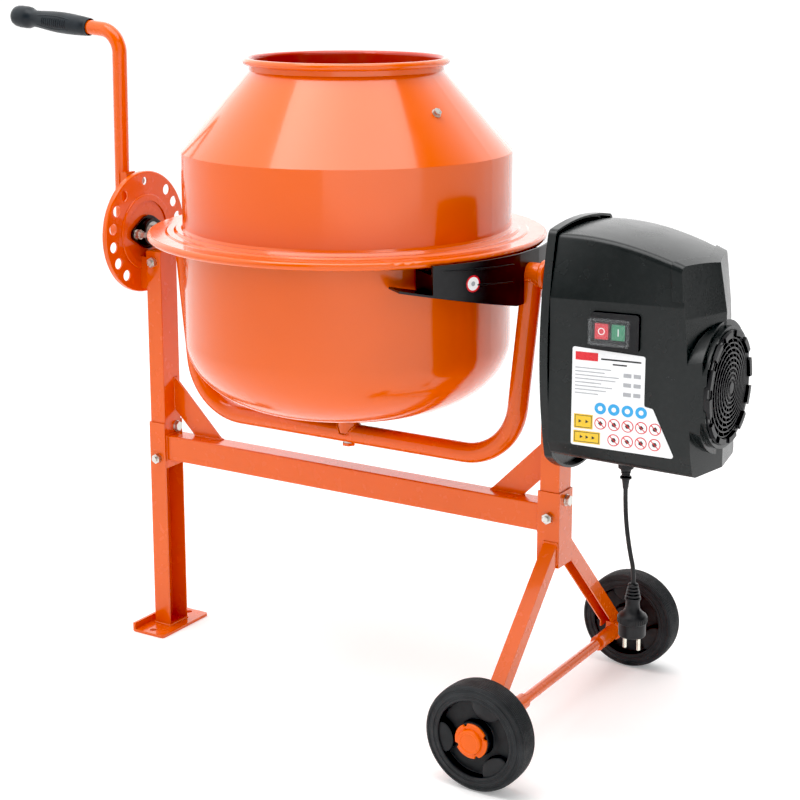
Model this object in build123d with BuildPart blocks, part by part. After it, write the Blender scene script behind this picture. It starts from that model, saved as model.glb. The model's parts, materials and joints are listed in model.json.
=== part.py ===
from build123d import *
import math
import os

# Tilting-drum concrete mixer, 63 litre class. Millimetres, +Z up.
# Everything is drawn from the drum's own vertical axis (X 0, Y 0) and the floor (Z 0).
# X runs along the trunnions towards the motor. At the end every piece is shifted by
# BOX_SHIFT, so that the origin is on the floor under the middle of the machine.

BOX_SHIFT = 18.0

# driving dimensions
TRUNNION_Z = 611.0
MOTOR_Z = 495.0
WALL = 2.0

POST_LEFT = (-343.6, -316.8)
POST_RIGHT = (312.0, 340.2)
POST_LEFT_HALF = 19.2
POST_RIGHT_HALF = 17.0
POST_TOP = 586.0
LEG_TOP = 325.0
SOCKET_BOTTOM = 222.0
BAR_Z = (268.0, 306.0)
BAR_HALF = 16.0

WHEEL_R = 70.0
WHEEL_WIDTH = 37.0
WHEEL_Y = 227.5
AXLE_R = 7.0

DRUM_R = 226.0
DRUM_BOTTOM = 401.0
RIM_Z = 643.0
RIM_R = 274.5
SHOULDER_Z = 756.0
NECK_Z = 864.0
NECK_R = 132.0
BEAD_Z = 876.0
BEAD_R = 5.0

MODULE = 4.0
RING_TEETH = 120
PINION_TEETH = 12
GEAR_FACE = (232.0, 248.0)
PITCH_Z = TRUNNION_Z + MODULE * PINION_TEETH / 2

BAIL_TUBE_R = 14.0
BAIL_TOP_X = 287.0
BAIL_LOW_X = 270.0
BAIL_Z = 354.0
BAIL_CORNER_R = 82.0

PLATE_X = (350.0, 361.0)
COVER_END_X = 537.0
COVER_END_HALF = 73.5
COLLAR_X = 560.0
GRILLE_X = (557.2, 566.0)

PIECES = {}


def keep(name, built):
    """Names a finished piece."""
    built.part.label = name
    PIECES[name] = built


def block(x, y, z, mode=Mode.ADD):
    """A box from its limits along X, Y and Z."""
    middle = ((x[0] + x[1]) / 2, (y[0] + y[1]) / 2, (z[0] + z[1]) / 2)
    with Locations(middle):
        Box(x[1] - x[0], y[1] - y[0], z[1] - z[0], mode=mode)


def rod(axis, start, end, centre, radius, mode=Mode.ADD):
    """A cylinder along X, Y or Z. centre holds the other two coordinates in order."""
    middle = (start + end) / 2
    place = {
        "x": ((middle, centre[0], centre[1]), (0, 90, 0)),
        "y": ((centre[0], middle, centre[1]), (90, 0, 0)),
        "z": ((centre[0], centre[1], middle), (0, 0, 0)),
    }[axis]
    with Locations(Location(*place)):
        Cylinder(radius, abs(end - start), mode=mode)


def hex_prism(axis, start, end, centre, flats):
    """A hexagon nut or bolt head along X, Y or Z."""
    plane = {
        "x": Plane((start, centre[0], centre[1]), z_dir=(1, 0, 0)),
        "y": Plane((centre[0], start, centre[1]), z_dir=(0, 1, 0)),
        "z": Plane((centre[0], centre[1], start), z_dir=(0, 0, 1)),
    }[axis]
    with BuildSketch(plane) as outline:
        RegularPolygon(flats / 2, 6, major_radius=False)
    extrude(outline.sketch, amount=end - start)


def ring_of(points):
    """A closed profile in the XZ plane turned about the drum's axis."""
    with BuildSketch(Plane.XZ) as profile:
        with BuildLine():
            Polyline(*points, close=True)
        make_face()
    revolve(profile.sketch, axis=Axis.Z)


# ---------------------------------------------------------------- frame, left side
BOLT_R = 4.0
BEARING_BOLTS_Y = (-28.0, 28.0)
LEFT_MID = (POST_LEFT[0] + POST_LEFT[1]) / 2
LEG_X = (POST_LEFT[0] - WALL - 0.2, POST_LEFT[1] + 0.6)
LEG_HALF = POST_LEFT_HALF + WALL + 0.1
FOOT_Z = 4.0
DISC_BOLT_Z = 570.0
LEG_BOLT_Z = 270.0

with BuildPart() as left_post:
    block(POST_LEFT, (-POST_LEFT_HALF, POST_LEFT_HALF), (255.0, POST_TOP))
    block(
        (POST_LEFT[0] + WALL, POST_LEFT[1] - WALL),
        (-POST_LEFT_HALF + WALL, POST_LEFT_HALF - WALL),
        (255.0, POST_TOP - WALL),
        Mode.SUBTRACT,
    )
    for bolt_z in (DISC_BOLT_Z, LEG_BOLT_Z):
        rod("y", -30, 30, (LEFT_MID, bolt_z), BOLT_R + 0.3, Mode.SUBTRACT)
    fillet(left_post.edges().filter_by(Axis.Z).group_by(SortBy.LENGTH)[-1], 1.2)
keep("left_post", left_post)

# channel leg, open towards the crossbar
with BuildPart() as stand_leg:
    block(LEG_X, (-LEG_HALF, LEG_HALF), (FOOT_Z, LEG_TOP))
    block((LEG_X[0] + WALL, 0), (-LEG_HALF + WALL, LEG_HALF - WALL), (0, 400), Mode.SUBTRACT)
    rod("y", -30, 30, (LEFT_MID, LEG_BOLT_Z), BOLT_R + 0.3, Mode.SUBTRACT)
    fillet(stand_leg.edges().filter_by(Axis.Z).group_by(Axis.X)[0], 2.0)
keep("stand_leg", stand_leg)

FOOT_X = (-357.0, -299.0)
FOOT_Y = (-60.0, 52.0)
FOOT_HOLES = (-48.0, 40.0)
with BuildPart() as foot_plate:
    block(FOOT_X, FOOT_Y, (0, FOOT_Z))
    block((FOOT_X[0], FOOT_X[0] + FOOT_Z), FOOT_Y, (0, 14.0))
    for hole_y in FOOT_HOLES:
        rod("z", -1, 10, (-328.0, hole_y), 5.0, Mode.SUBTRACT)
    fillet(foot_plate.edges().filter_by(Axis.Z).group_by(Axis.X)[-1], 5.0)
    fillet(foot_plate.edges().filter_by(Axis.Y).sort_by(Axis.X)[:2].sort_by(Axis.Z)[0], 3.0)
keep("foot_plate", foot_plate)

# ---------------------------------------------------------------- frame, crossbar and right side
with BuildPart() as crossbar:
    block((POST_LEFT[1], POST_RIGHT[0]), (-BAR_HALF, BAR_HALF), BAR_Z)
    block(
        (POST_LEFT[1], POST_RIGHT[0]),
        (-BAR_HALF + WALL, BAR_HALF - WALL),
        (BAR_Z[0] + WALL, BAR_Z[1] - WALL),
        Mode.SUBTRACT,
    )
    fillet(crossbar.edges().filter_by(Axis.X).group_by(Axis.Y)[0], 2.5)
    fillet(crossbar.edges().filter_by(Axis.X).group_by(Axis.Y)[-1], 2.5)
keep("crossbar", crossbar)

BRACE_Y = 8.0
BRACE_FAR = 87.0
BRACE_NEAR = 37.0
with BuildPart() as corner_braces:
    for corner_x, way in ((POST_LEFT[1], 1), (POST_RIGHT[0], -1)):
        with BuildSketch(Plane.XZ.offset(-BRACE_Y - 2.0)) as strap:
            with BuildLine():
                Polyline(
                    (corner_x, BAR_Z[1] + BRACE_NEAR),
                    (corner_x, BAR_Z[1] + BRACE_FAR),
                    (corner_x + way * BRACE_FAR, BAR_Z[1]),
                    (corner_x + way * BRACE_NEAR, BAR_Z[1]),
                    close=True,
                )
            make_face()
        extrude(strap.sketch, amount=4.0)
keep("corner_braces", corner_braces)

RIGHT_MID = (POST_RIGHT[0] + POST_RIGHT[1]) / 2
HEAD_X = (POST_RIGHT[1], POST_RIGHT[1] + 3.5)
with BuildPart() as right_post:
    block(POST_RIGHT, (-POST_RIGHT_HALF, POST_RIGHT_HALF), (236.0, POST_TOP))
    block(
        (POST_RIGHT[0] + WALL, POST_RIGHT[1] - WALL),
        (-POST_RIGHT_HALF + WALL, POST_RIGHT_HALF - WALL),
        (236.0, POST_TOP - WALL),
        Mode.SUBTRACT,
    )
    # head plate that carries the bearing and the motor housing
    block(HEAD_X, (-45, 45), (TRUNNION_Z - 40, TRUNNION_Z + 30))
    rod("x", HEAD_X[0] - 1, HEAD_X[1] + 1, (0, TRUNNION_Z), 17.0, Mode.SUBTRACT)
    for bolt_y in BEARING_BOLTS_Y:
        rod("x", HEAD_X[0] - 1, HEAD_X[1] + 1, (bolt_y, TRUNNION_Z), BOLT_R + 0.1, Mode.SUBTRACT)
    rod("y", -30, 30, (RIGHT_MID, 290.0), BOLT_R + 0.3, Mode.SUBTRACT)
keep("right_post", right_post)

SOCKET_X = (POST_RIGHT[0] - WALL - 0.1, POST_RIGHT[1] + WALL + 0.1)
SOCKET_HALF = POST_RIGHT_HALF + WALL + 0.1
with BuildPart() as wheel_socket:
    block(SOCKET_X, (-SOCKET_HALF, SOCKET_HALF), (SOCKET_BOTTOM, LEG_TOP))
    block(
        (SOCKET_X[0] + WALL, SOCKET_X[1] - WALL),
        (-SOCKET_HALF + WALL, SOCKET_HALF - WALL),
        (SOCKET_BOTTOM + WALL, LEG_TOP),
        Mode.SUBTRACT,
    )
    # the crossbar passes through the upper part of the inner wall
    block(
        (SOCKET_X[0] - 1, POST_RIGHT[0]),
        (-BAR_HALF - 0.2, BAR_HALF + 0.2),
        (BAR_Z[0] - 0.2, LEG_TOP + 1),
        Mode.SUBTRACT,
    )
    rod("y", -30, 30, (RIGHT_MID, 290.0), BOLT_R + 0.3, Mode.SUBTRACT)
keep("wheel_socket", wheel_socket)

# splayed legs at 45 degrees, channels open underneath, each with its axle sleeve
AXLE_X = RIGHT_MID + 14.6
LEG_THICK = 20.0
SPLAY_X = (SOCKET_X[1] - 22.5, SOCKET_X[1] - 2.5)
SLEEVE_R = 10.5


def axle_leg(side):
    """One leg of the wheel frame. side is -1 for the front and 1 for the rear."""
    face = side * SOCKET_HALF
    foot = side * (SOCKET_HALF + 256.0 - 82.0)
    for inset, thick, mode in ((0.0, LEG_THICK, Mode.ADD), (WALL, LEG_THICK + 4.0, Mode.SUBTRACT)):
        across = inset * math.sqrt(2)
        slant = thick * math.sqrt(2)
        with BuildSketch(Plane.YZ.offset(SPLAY_X[0] + inset)) as side_view:
            with BuildLine():
                Polyline(
                    (face, 256.0 - across),
                    (foot, 82.0 - across),
                    (foot - side * 6, 74.0),
                    (foot - side * slant, 74.0),
                    (foot - side * slant, 82.0),
                    (face, 256.0 - slant),
                    close=True,
                )
            make_face()
        extrude(side_view.sketch, amount=SPLAY_X[1] - SPLAY_X[0] - 2 * inset, mode=mode)
    rod("y", side * 112, side * 204, (AXLE_X, WHEEL_R), SLEEVE_R)
    block(
        (RIGHT_MID + 4, SOCKET_X[1]),
        tuple(sorted((foot - side * 30, foot - side * 2))),
        (WHEEL_R, 84.0),
    )
    rod("y", side * 100, side * 210, (AXLE_X, WHEEL_R), AXLE_R + 0.05, Mode.SUBTRACT)


with BuildPart() as axle_leg_front:
    axle_leg(-1)
keep("axle_leg_front", axle_leg_front)

with BuildPart() as axle_leg_rear:
    axle_leg(1)
keep("axle_leg_rear", axle_leg_rear)

AXLE_END = WHEEL_Y + WHEEL_WIDTH / 2 + 6.0
with BuildPart() as axle_rod:
    rod("y", -AXLE_END, AXLE_END, (AXLE_X, WHEEL_R), AXLE_R)
    chamfer(axle_rod.edges().filter_by(GeomType.CIRCLE), 1.0)
keep("axle_rod", axle_rod)

# M8 bolts with their nuts: two through the left side, one through the socket, one into its outer face
with BuildPart() as frame_bolts:
    for bolt_x, half, bolt_z in (
        (LEFT_MID, POST_LEFT_HALF, DISC_BOLT_Z),
        (LEFT_MID, LEG_HALF, LEG_BOLT_Z),
        (RIGHT_MID, SOCKET_HALF, 290.0),
    ):
        rod("y", -half - 10, half, (bolt_x, bolt_z), BOLT_R)
        hex_prism("y", half, half + 5.3, (bolt_x, bolt_z), 13.0)
        hex_prism("y", -half - 6.5, -half, (bolt_x, bolt_z), 13.0)
    rod("x", SOCKET_X[1], SOCKET_X[1] + 1.2, (0, 312.0), 8.0)
    hex_prism("x", SOCKET_X[1] + 1.2, SOCKET_X[1] + 6.5, (0, 312.0), 13.0)
    rod("x", POST_LEFT[1], POST_LEFT[1] + 1.2, (8.0, 316.0), 8.0)
    hex_prism("x", POST_LEFT[1] + 1.2, POST_LEFT[1] + 6.5, (8.0, 316.0), 13.0)
keep("frame_bolts", frame_bolts)

# ---------------------------------------------------------------- tilt lock disc and bearings
DISC_R = 90.0
DISC_X = (-359.5, -357.0)
DISC_RIM = 5.0
LOCK_R = 75.5
NEAR_HOLES = [39 + 20.5 * step for step in range(6)]
FAR_HOLES = [-41 - 19.5 * step for step in range(6)]
with BuildPart() as lock_disc:
    rod("x", DISC_X[0], DISC_X[1], (0, TRUNNION_Z), DISC_R)
    fillet(lock_disc.edges().filter_by(GeomType.CIRCLE).sort_by(Axis.X)[-1], 2.4)
    rod("x", DISC_X[0] - DISC_RIM, DISC_X[0], (0, TRUNNION_Z), DISC_R)
    rod("x", DISC_X[0] - DISC_RIM, DISC_X[0], (0, TRUNNION_Z), DISC_R - 2.5, Mode.SUBTRACT)
    # raised ring pressed into the middle
    rod("x", DISC_X[1], DISC_X[1] + 2.0, (0, TRUNNION_Z), 56.0)
    fillet(lock_disc.edges().filter_by(GeomType.CIRCLE).sort_by(Axis.X)[-1], 1.8)
    rod("x", DISC_X[1], DISC_X[1] + 3.0, (0, TRUNNION_Z), 46.0, Mode.SUBTRACT)
    rod("x", DISC_X[0] - 12, DISC_X[1] + 3, (0, TRUNNION_Z), 13.0, Mode.SUBTRACT)
    for turn in [0] + NEAR_HOLES + FAR_HOLES:
        across = -LOCK_R * math.sin(math.radians(turn))
        height = TRUNNION_Z + LOCK_R * math.cos(math.radians(turn))
        rod("x", DISC_X[0] - 12, DISC_X[1] + 3, (across, height), 8.0 if turn else 6.0, Mode.SUBTRACT)
    for bolt_y in BEARING_BOLTS_Y:
        rod("x", DISC_X[0] - 1, DISC_X[1] + 1, (bolt_y, TRUNNION_Z), BOLT_R + 0.1, Mode.SUBTRACT)
    # bracket that carries the disc on the post
    block((DISC_X[1], POST_LEFT[0]), (-15, 15), (528, 576))
keep("lock_disc", lock_disc)

with BuildPart() as bearing_flanges:
    for flange_x, thick in ((-355.0, 11.0), (HEAD_X[1], 6.0)):
        with BuildSketch(Plane((flange_x, 0, TRUNNION_Z), x_dir=(0, 1, 0), z_dir=(1, 0, 0))) as rhomb:
            with Locations((0, 0)):
                Circle(25.0)
            with Locations((-28, 0), (28, 0)):
                Circle(10.0)
            make_hull()
        extrude(rhomb.sketch, amount=3.0)
        rod("x", flange_x + 3.0, flange_x + thick, (0, TRUNNION_Z), 20.2)
    rod("x", -360, -340, (0, TRUNNION_Z), 16.0, Mode.SUBTRACT)
    rod("x", 340, 352, (0, TRUNNION_Z), 18.5, Mode.SUBTRACT)
    for hole_y in BEARING_BOLTS_Y:
        rod("x", -360, -340, (hole_y, TRUNNION_Z), 4.3, Mode.SUBTRACT)
        rod("x", 340, 352, (hole_y, TRUNNION_Z), 4.3, Mode.SUBTRACT)
keep("bearing_flanges", bearing_flanges)

with BuildPart() as bearing_inserts:
    rod("x", -354.5, -344.5, (0, TRUNNION_Z), 16.0)
    rod("x", -354.5, -344.5, (0, TRUNNION_Z), 10.05, Mode.SUBTRACT)
    rod("x", HEAD_X[1], HEAD_X[1] + 6.0, (0, TRUNNION_Z), 18.5)
    rod("x", HEAD_X[1], HEAD_X[1] + 6.0, (0, TRUNNION_Z), 15.05, Mode.SUBTRACT)
keep("bearing_inserts", bearing_inserts)

with BuildPart() as bearing_bolts:
    for bolt_y in BEARING_BOLTS_Y:
        hex_prism("x", DISC_X[0] - 5.3, DISC_X[0], (bolt_y, TRUNNION_Z), 13.0)
        rod("x", DISC_X[0], -336, (bolt_y, TRUNNION_Z), BOLT_R)
        rod("x", -352.0, -350.5, (bolt_y, TRUNNION_Z), 7.5)
        hex_prism("x", -350.5, -344.0, (bolt_y, TRUNNION_Z), 13.0)
        rod("x", HEAD_X[0] - 4, HEAD_X[1] + 3.0, (bolt_y, TRUNNION_Z), BOLT_R)
        hex_prism("x", HEAD_X[0] - 5.3, HEAD_X[0], (bolt_y, TRUNNION_Z), 13.0)
keep("bearing_bolts", bearing_bolts)

# ---------------------------------------------------------------- bail (tilting yoke)
BAIL_TOP_Z = TRUNNION_Z - 8.0
SPINDLE_SEAT_Z = 372.0
SPINDLE_STUB_R = 8.0


def bail_path(side):
    """Half of the bail's centre line, from the middle of the bottom to one trunnion."""
    with BuildLine(Plane.XZ) as path:
        FilletPolyline(
            (0, BAIL_Z),
            (side * BAIL_LOW_X * 0.965, BAIL_Z),
            (side * BAIL_TOP_X, BAIL_TOP_Z),
            radius=BAIL_CORNER_R,
        )
    return path.line


with BuildPart() as bail_tube:
    for radius, mode in ((BAIL_TUBE_R, Mode.ADD), (BAIL_TUBE_R - WALL, Mode.SUBTRACT)):
        for side in (-1, 1):
            half_path = bail_path(side)
            with BuildSketch(Plane((0, 0, BAIL_Z), x_dir=(0, 1, 0), z_dir=(side, 0, 0))) as section:
                Circle(radius)
            sweep(section.sketch, path=half_path, mode=mode)
    for side in (-1, 1):
        rod("x", side * BAIL_TOP_X - 30, side * BAIL_TOP_X + 30, (0, TRUNNION_Z), 15.0, Mode.SUBTRACT)
    # boss that the drum's spindle stands in
    rod("z", BAIL_Z, SPINDLE_SEAT_Z, (0, 0), 15.5)
    rod("z", BAIL_Z - 20, SPINDLE_SEAT_Z + 1, (0, 0), SPINDLE_STUB_R + 0.05, Mode.SUBTRACT)
keep("bail_tube", bail_tube)

# left trunnion: solid pin with the collar that is welded into the bail
with BuildPart() as trunnion_pin:
    rod("x", -412, -272, (0, TRUNNION_Z), 10.0)
    rod("x", -306, -272, (0, TRUNNION_Z), 15.0)
    chamfer(trunnion_pin.edges().filter_by(GeomType.CIRCLE).sort_by(Axis.X)[0], 1.0)
    fillet(trunnion_pin.edges().filter_by(GeomType.CIRCLE).sort_by(Axis.X)[-1], 2.0)
keep("trunnion_pin", trunnion_pin)

# right trunnion: a sleeve around the pinion shaft
with BuildPart() as trunnion_sleeve:
    rod("x", 270, 356, (0, TRUNNION_Z), 15.0)
    rod("x", 301.5, 311, (0, TRUNNION_Z), 19.5)
    fillet(trunnion_sleeve.edges().filter_by(GeomType.CIRCLE).filter_by(lambda e: e.radius > 19), 3.0)
    rod("x", 260, 360, (0, TRUNNION_Z), 11.0, Mode.SUBTRACT)
keep("trunnion_sleeve", trunnion_sleeve)

SHAFT_R = 8.5
with BuildPart() as pinion_bushes:
    for start, end in ((270, 290), (336, 356)):
        rod("x", start, end, (0, TRUNNION_Z), 11.0)
        rod("x", start, end, (0, TRUNNION_Z), SHAFT_R + 0.08, Mode.SUBTRACT)
keep("pinion_bushes", pinion_bushes)

# ---------------------------------------------------------------- tilt crank
CRANK_X = -401.0
CRANK_TUBE_R = 10.6
CRANK_BEND = (-397.0, 903.5)
CRANK_RISE = 0.0927
GRIP_START = (-452.0, CRANK_BEND[1] + 55.0 * CRANK_RISE)
GRIP_END = (-601.17, CRANK_BEND[1] + 204.17 * CRANK_RISE)
TUBE_END = (-590.0, CRANK_BEND[1] + 193.0 * CRANK_RISE)
with BuildPart() as crank_tube:
    with BuildLine(Plane.XZ) as crank_path:
        FilletPolyline((CRANK_X, TRUNNION_Z + 12), CRANK_BEND, TUBE_END, radius=34)
    for radius, mode in ((CRANK_TUBE_R, Mode.ADD), (CRANK_TUBE_R - WALL, Mode.SUBTRACT)):
        with BuildSketch(Plane(crank_path.line @ 0, z_dir=crank_path.line % 0)) as crank_section:
            Circle(radius)
        sweep(crank_section.sketch, path=crank_path.line, mode=mode)
    # lock boss: a strap from the tube towards the disc, bored for the lock pin
    block((CRANK_X, -384), (-10, 10), (TRUNNION_Z + LOCK_R - 11, TRUNNION_Z + LOCK_R + 12))
    rod("x", CRANK_X - 30, -360, (0, TRUNNION_Z + LOCK_R), 5.3, Mode.SUBTRACT)
    # hub that is clamped on the trunnion pin
    rod("x", CRANK_X - 14, CRANK_X + 18, (0, TRUNNION_Z), 14.0)
    rod("x", CRANK_X - 30, CRANK_X + 30, (0, TRUNNION_Z), 10.0, Mode.SUBTRACT)
keep("crank_tube", crank_tube)

GRIP_LENGTH = math.dist(GRIP_START, GRIP_END)
GRIP_PLANE = Plane(
    (GRIP_START[0], 0, GRIP_START[1]),
    x_dir=(0, 1, 0),
    z_dir=(GRIP_END[0] - GRIP_START[0], 0, GRIP_END[1] - GRIP_START[1]),
)
with BuildPart() as crank_grip:
    with BuildSketch(Plane(GRIP_PLANE.origin, x_dir=GRIP_PLANE.z_dir, z_dir=(0, -1, 0))) as grip_half:
        with BuildLine():
            Line((0, 0), (0, 12.5))
            Spline((0, 12.5), (30, 15.6), (60, 15.8), (100, 13.2), (118, 13.0))
            Spline((118, 13.0), (124, 15.6), (132, 16.4), (142, 15.0), (GRIP_LENGTH, 9.0))
            Line((GRIP_LENGTH, 9.0), (GRIP_LENGTH, 0))
            Line((GRIP_LENGTH, 0), (0, 0))
        make_face()
    revolve(grip_half.sketch, axis=Axis(GRIP_PLANE.origin, GRIP_PLANE.z_dir))
    with BuildSketch(GRIP_PLANE) as grip_bore:
        Circle(CRANK_TUBE_R + 0.02)
    extrude(grip_bore.sketch, amount=139.0, mode=Mode.SUBTRACT)
keep("crank_grip", crank_grip)

with BuildPart() as lock_pin:
    rod("x", CRANK_X - 8, DISC_X[0] - 1.2, (0, TRUNNION_Z + LOCK_R), 5.0)
    fillet(lock_pin.edges().filter_by(GeomType.CIRCLE).sort_by(Axis.X)[-1], 1.5)
    # finger collar, with 10 mm of travel in front of it
    rod("x", -382, -376, (0, TRUNNION_Z + LOCK_R), 8.5)
    fillet(lock_pin.edges().filter_by(GeomType.CIRCLE).filter_by(lambda e: e.radius > 8.4), 1.5)
keep("lock_pin", lock_pin)

# ---------------------------------------------------------------- spindle and drum
SPINDLE_R = 12.5
BAIL_LOW_Z = BAIL_Z - BAIL_TUBE_R
with BuildPart() as spindle:
    rod("z", BAIL_LOW_Z, SPINDLE_SEAT_Z, (0, 0), SPINDLE_STUB_R)
    rod("z", SPINDLE_SEAT_Z, 456, (0, 0), SPINDLE_R)
    chamfer(spindle.edges().filter_by(GeomType.CIRCLE).sort_by(Axis.Z)[-1], 1.5)
    rod("z", BAIL_LOW_Z - 1, BAIL_LOW_Z + 25, (0, 0), 5.0, Mode.SUBTRACT)
keep("spindle", spindle)

# M10 bolt that draws the spindle into the bail from below
with BuildPart() as spindle_bolt:
    rod("z", BAIL_LOW_Z, BAIL_LOW_Z + 22, (0, 0), 5.0)
    hex_prism("z", BAIL_LOW_Z - 4, BAIL_LOW_Z, (0, 0), 17.0)
keep("spindle_bolt", spindle_bolt)

with BuildPart() as drum_hub:
    ring_of(((13.0, 380), (33, 380), (33, 395), (70, 395), (70, 401), (33, 401), (33, 466), (0, 466),
             (0, 460), (26, 460), (26, 384), (13.0, 384)))
    for turn in range(4):
        angle = math.radians(45 + 90 * turn)
        rod("z", 390, 405, (54 * math.cos(angle), 54 * math.sin(angle)), 3.1, Mode.SUBTRACT)
keep("drum_hub", drum_hub)

with BuildPart() as hub_bearings:
    for low in (384, 444):
        rod("z", low, low + 15, (0, 0), 26.0)
        rod("z", low, low + 15, (0, 0), SPINDLE_R + 0.05, Mode.SUBTRACT)
        rod("z", low + 13, low + 15, (0, 0), 22.5, Mode.SUBTRACT)
        rod("z", low + 13, low + 15, (0, 0), 17.5)
        rod("z", low, low + 15, (0, 0), SPINDLE_R + 0.05, Mode.SUBTRACT)
keep("hub_bearings", hub_bearings)


def drum_cup(inset):
    """Closed outline of the lower drum, moved inwards by inset."""
    radius = DRUM_R - inset
    low = DRUM_BOTTOM + inset
    with BuildSketch(Plane.XZ) as cup:
        with BuildLine():
            Line((0, low), (95, low))
            EllipticalCenterArc((95, 497), radius - 95, 497 - low, start_angle=270, arc_size=90)
            Line((radius, 497), (radius, RIM_Z))
            Line((radius, RIM_Z), (0, RIM_Z))
            Line((0, RIM_Z), (0, low))
        make_face()
    return cup.sketch


with BuildPart() as lower_drum:
    revolve(drum_cup(0), axis=Axis.Z)
    revolve(drum_cup(WALL), axis=Axis.Z, mode=Mode.SUBTRACT)
    rod("z", RIM_Z, RIM_Z + 2, (0, 0), 260.0)
    rod("z", RIM_Z - 1, RIM_Z + 3, (0, 0), DRUM_R - WALL, Mode.SUBTRACT)
    rod("z", 390, 410, (0, 0), 33.1, Mode.SUBTRACT)
    for turn in range(12):
        angle = math.radians(15 + 30 * turn)
        rod("z", RIM_Z - 2, RIM_Z + 4, (255 * math.cos(angle), 255 * math.sin(angle)), 3.1, Mode.SUBTRACT)
    for turn in range(4):
        angle = math.radians(45 + 90 * turn)
        rod("z", 395, 410, (54 * math.cos(angle), 54 * math.sin(angle)), 3.1, Mode.SUBTRACT)
keep("lower_drum", lower_drum)

# upper drum: rim ring with a rolled lip, cylinder, cone, neck and mouth bead
LIP_R = 5.2
with BuildPart() as upper_drum:
    rim = RIM_Z + 2
    ring_of(
        (
            (DRUM_R - WALL, rim),
            (RIM_R - LIP_R, rim),
            (RIM_R - LIP_R, rim + 2),
            (250, rim + 2),
            (247, rim + 4),
            (238, rim + 4),
            (235, rim + 7),
            (DRUM_R + 2, rim + 7),
            (DRUM_R, rim + 10),
            (DRUM_R, SHOULDER_Z),
            (NECK_R, NECK_Z),
            (NECK_R, BEAD_Z),
            (NECK_R - WALL, BEAD_Z),
            (NECK_R - WALL, NECK_Z - 0.8),
            (DRUM_R - WALL, SHOULDER_Z - 0.8),
        )
    )
    with BuildSketch(Plane.XZ) as rolled:
        with Locations((RIM_R - LIP_R, rim + 2 - LIP_R)):
            Circle(LIP_R)
        with Locations((NECK_R - WALL + BEAD_R, BEAD_Z)):
            Circle(BEAD_R)
    revolve(rolled.sketch, axis=Axis.Z)
keep("upper_drum", upper_drum)

# crown gear under the rim, in four cast segments, teeth pointing down
TOOTH_TIP_Z = PITCH_Z - 0.72 * MODULE
TOOTH_ROOT_Z = PITCH_Z + 1.0 * MODULE


def crown_tooth():
    """One tooth at angle 0, tapered towards its tip."""
    half_root = 3.15
    half_tip = 1.25
    with BuildSketch(Plane.YZ.offset(GEAR_FACE[0])) as tooth:
        with BuildLine():
            Polyline(
                (-half_root, TOOTH_ROOT_Z + 0.5),
                (half_root, TOOTH_ROOT_Z + 0.5),
                (half_root, TOOTH_ROOT_Z),
                (half_tip, TOOTH_TIP_Z),
                (-half_tip, TOOTH_TIP_Z),
                (-half_root, TOOTH_ROOT_Z),
                close=True,
            )
        make_face()
    extrude(tooth.sketch, amount=GEAR_FACE[1] - GEAR_FACE[0])


with BuildPart() as one_tooth:
    crown_tooth()

with BuildPart() as ring_gear:
    for segment in range(4):
        start = 90 * segment
        with BuildSketch(Plane.XZ.rotated((0, 0, start + 0.15))) as body:
            with Locations(((228.3 + 260) / 2, (TOOTH_ROOT_Z + RIM_Z) / 2)):
                Rectangle(260 - 228.3, RIM_Z - TOOTH_ROOT_Z)
        revolve(body.sketch, axis=Axis.Z, revolution_arc=89.7)
    for index in range(RING_TEETH):
        add(one_tooth.part.rotate(Axis.Z, 360 / RING_TEETH * (index + 0.5)))
    for turn in range(12):
        angle = math.radians(15 + 30 * turn)
        rod("z", 630, RIM_Z + 4, (255 * math.cos(angle), 255 * math.sin(angle)), 3.1, Mode.SUBTRACT)
keep("ring_gear", ring_gear)

# M6 fasteners: twelve studs under the rim with nuts below the gear, four bolts through the hub
with BuildPart() as drum_bolts:
    for turn in range(12):
        angle = math.radians(15 + 30 * turn)
        centre = (255 * math.cos(angle), 255 * math.sin(angle))
        hex_prism("z", TOOTH_ROOT_Z - 4, TOOTH_ROOT_Z, centre, 9.5)
        rod("z", TOOTH_ROOT_Z, RIM_Z + 2, centre, 3.0)
    for turn in range(4):
        angle = math.radians(45 + 90 * turn)
        centre = (54 * math.cos(angle), 54 * math.sin(angle))
        hex_prism("z", 391, 395, centre, 10)
        rod("z", 395, 403, centre, 3.0)
        rod("z", 403, 408, centre, 5.5)
keep("drum_bolts", drum_bolts)

# two mixing blades, each a bent strip welded to the lower drum and bolted to the cone
BLADE_TURN = (-15.2, 164.8)
CONE_SLOPE = math.atan2(NECK_Z - SHOULDER_Z, DRUM_R - NECK_R)


def blade_at(turn):
    """A strip in the radial plane at the given turn, with a foot at each end."""
    plane = Plane.XZ.rotated((0, 0, turn)).offset(-1.5)
    with BuildSketch(plane) as strip:
        with BuildLine():
            Polyline(
                (212, 480),
                (212, 700),
                (208, 742),
                (140, 826),
                (96, 790),
                (150, 720),
                (156, 560),
                (150, 470),
                close=True,
            )
        make_face()
    extrude(strip.sketch, amount=3.0)
    with BuildSketch(Plane.XZ.rotated((0, 0, turn)).offset(-14)) as feet:
        with BuildLine():
            Polyline((212, 488), (223.3, 499), (223.3, 512), (212, 512), close=True)
        make_face()
        with BuildLine():
            Polyline((174, 781.5), (183.8, 799.3), (157.6, 829.4), (140, 824), close=True)
        make_face()
    extrude(feet.sketch, amount=28.0)


with BuildPart() as mixing_blades:
    for turn in BLADE_TURN:
        blade_at(turn)
keep("mixing_blades", mixing_blades)

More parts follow.
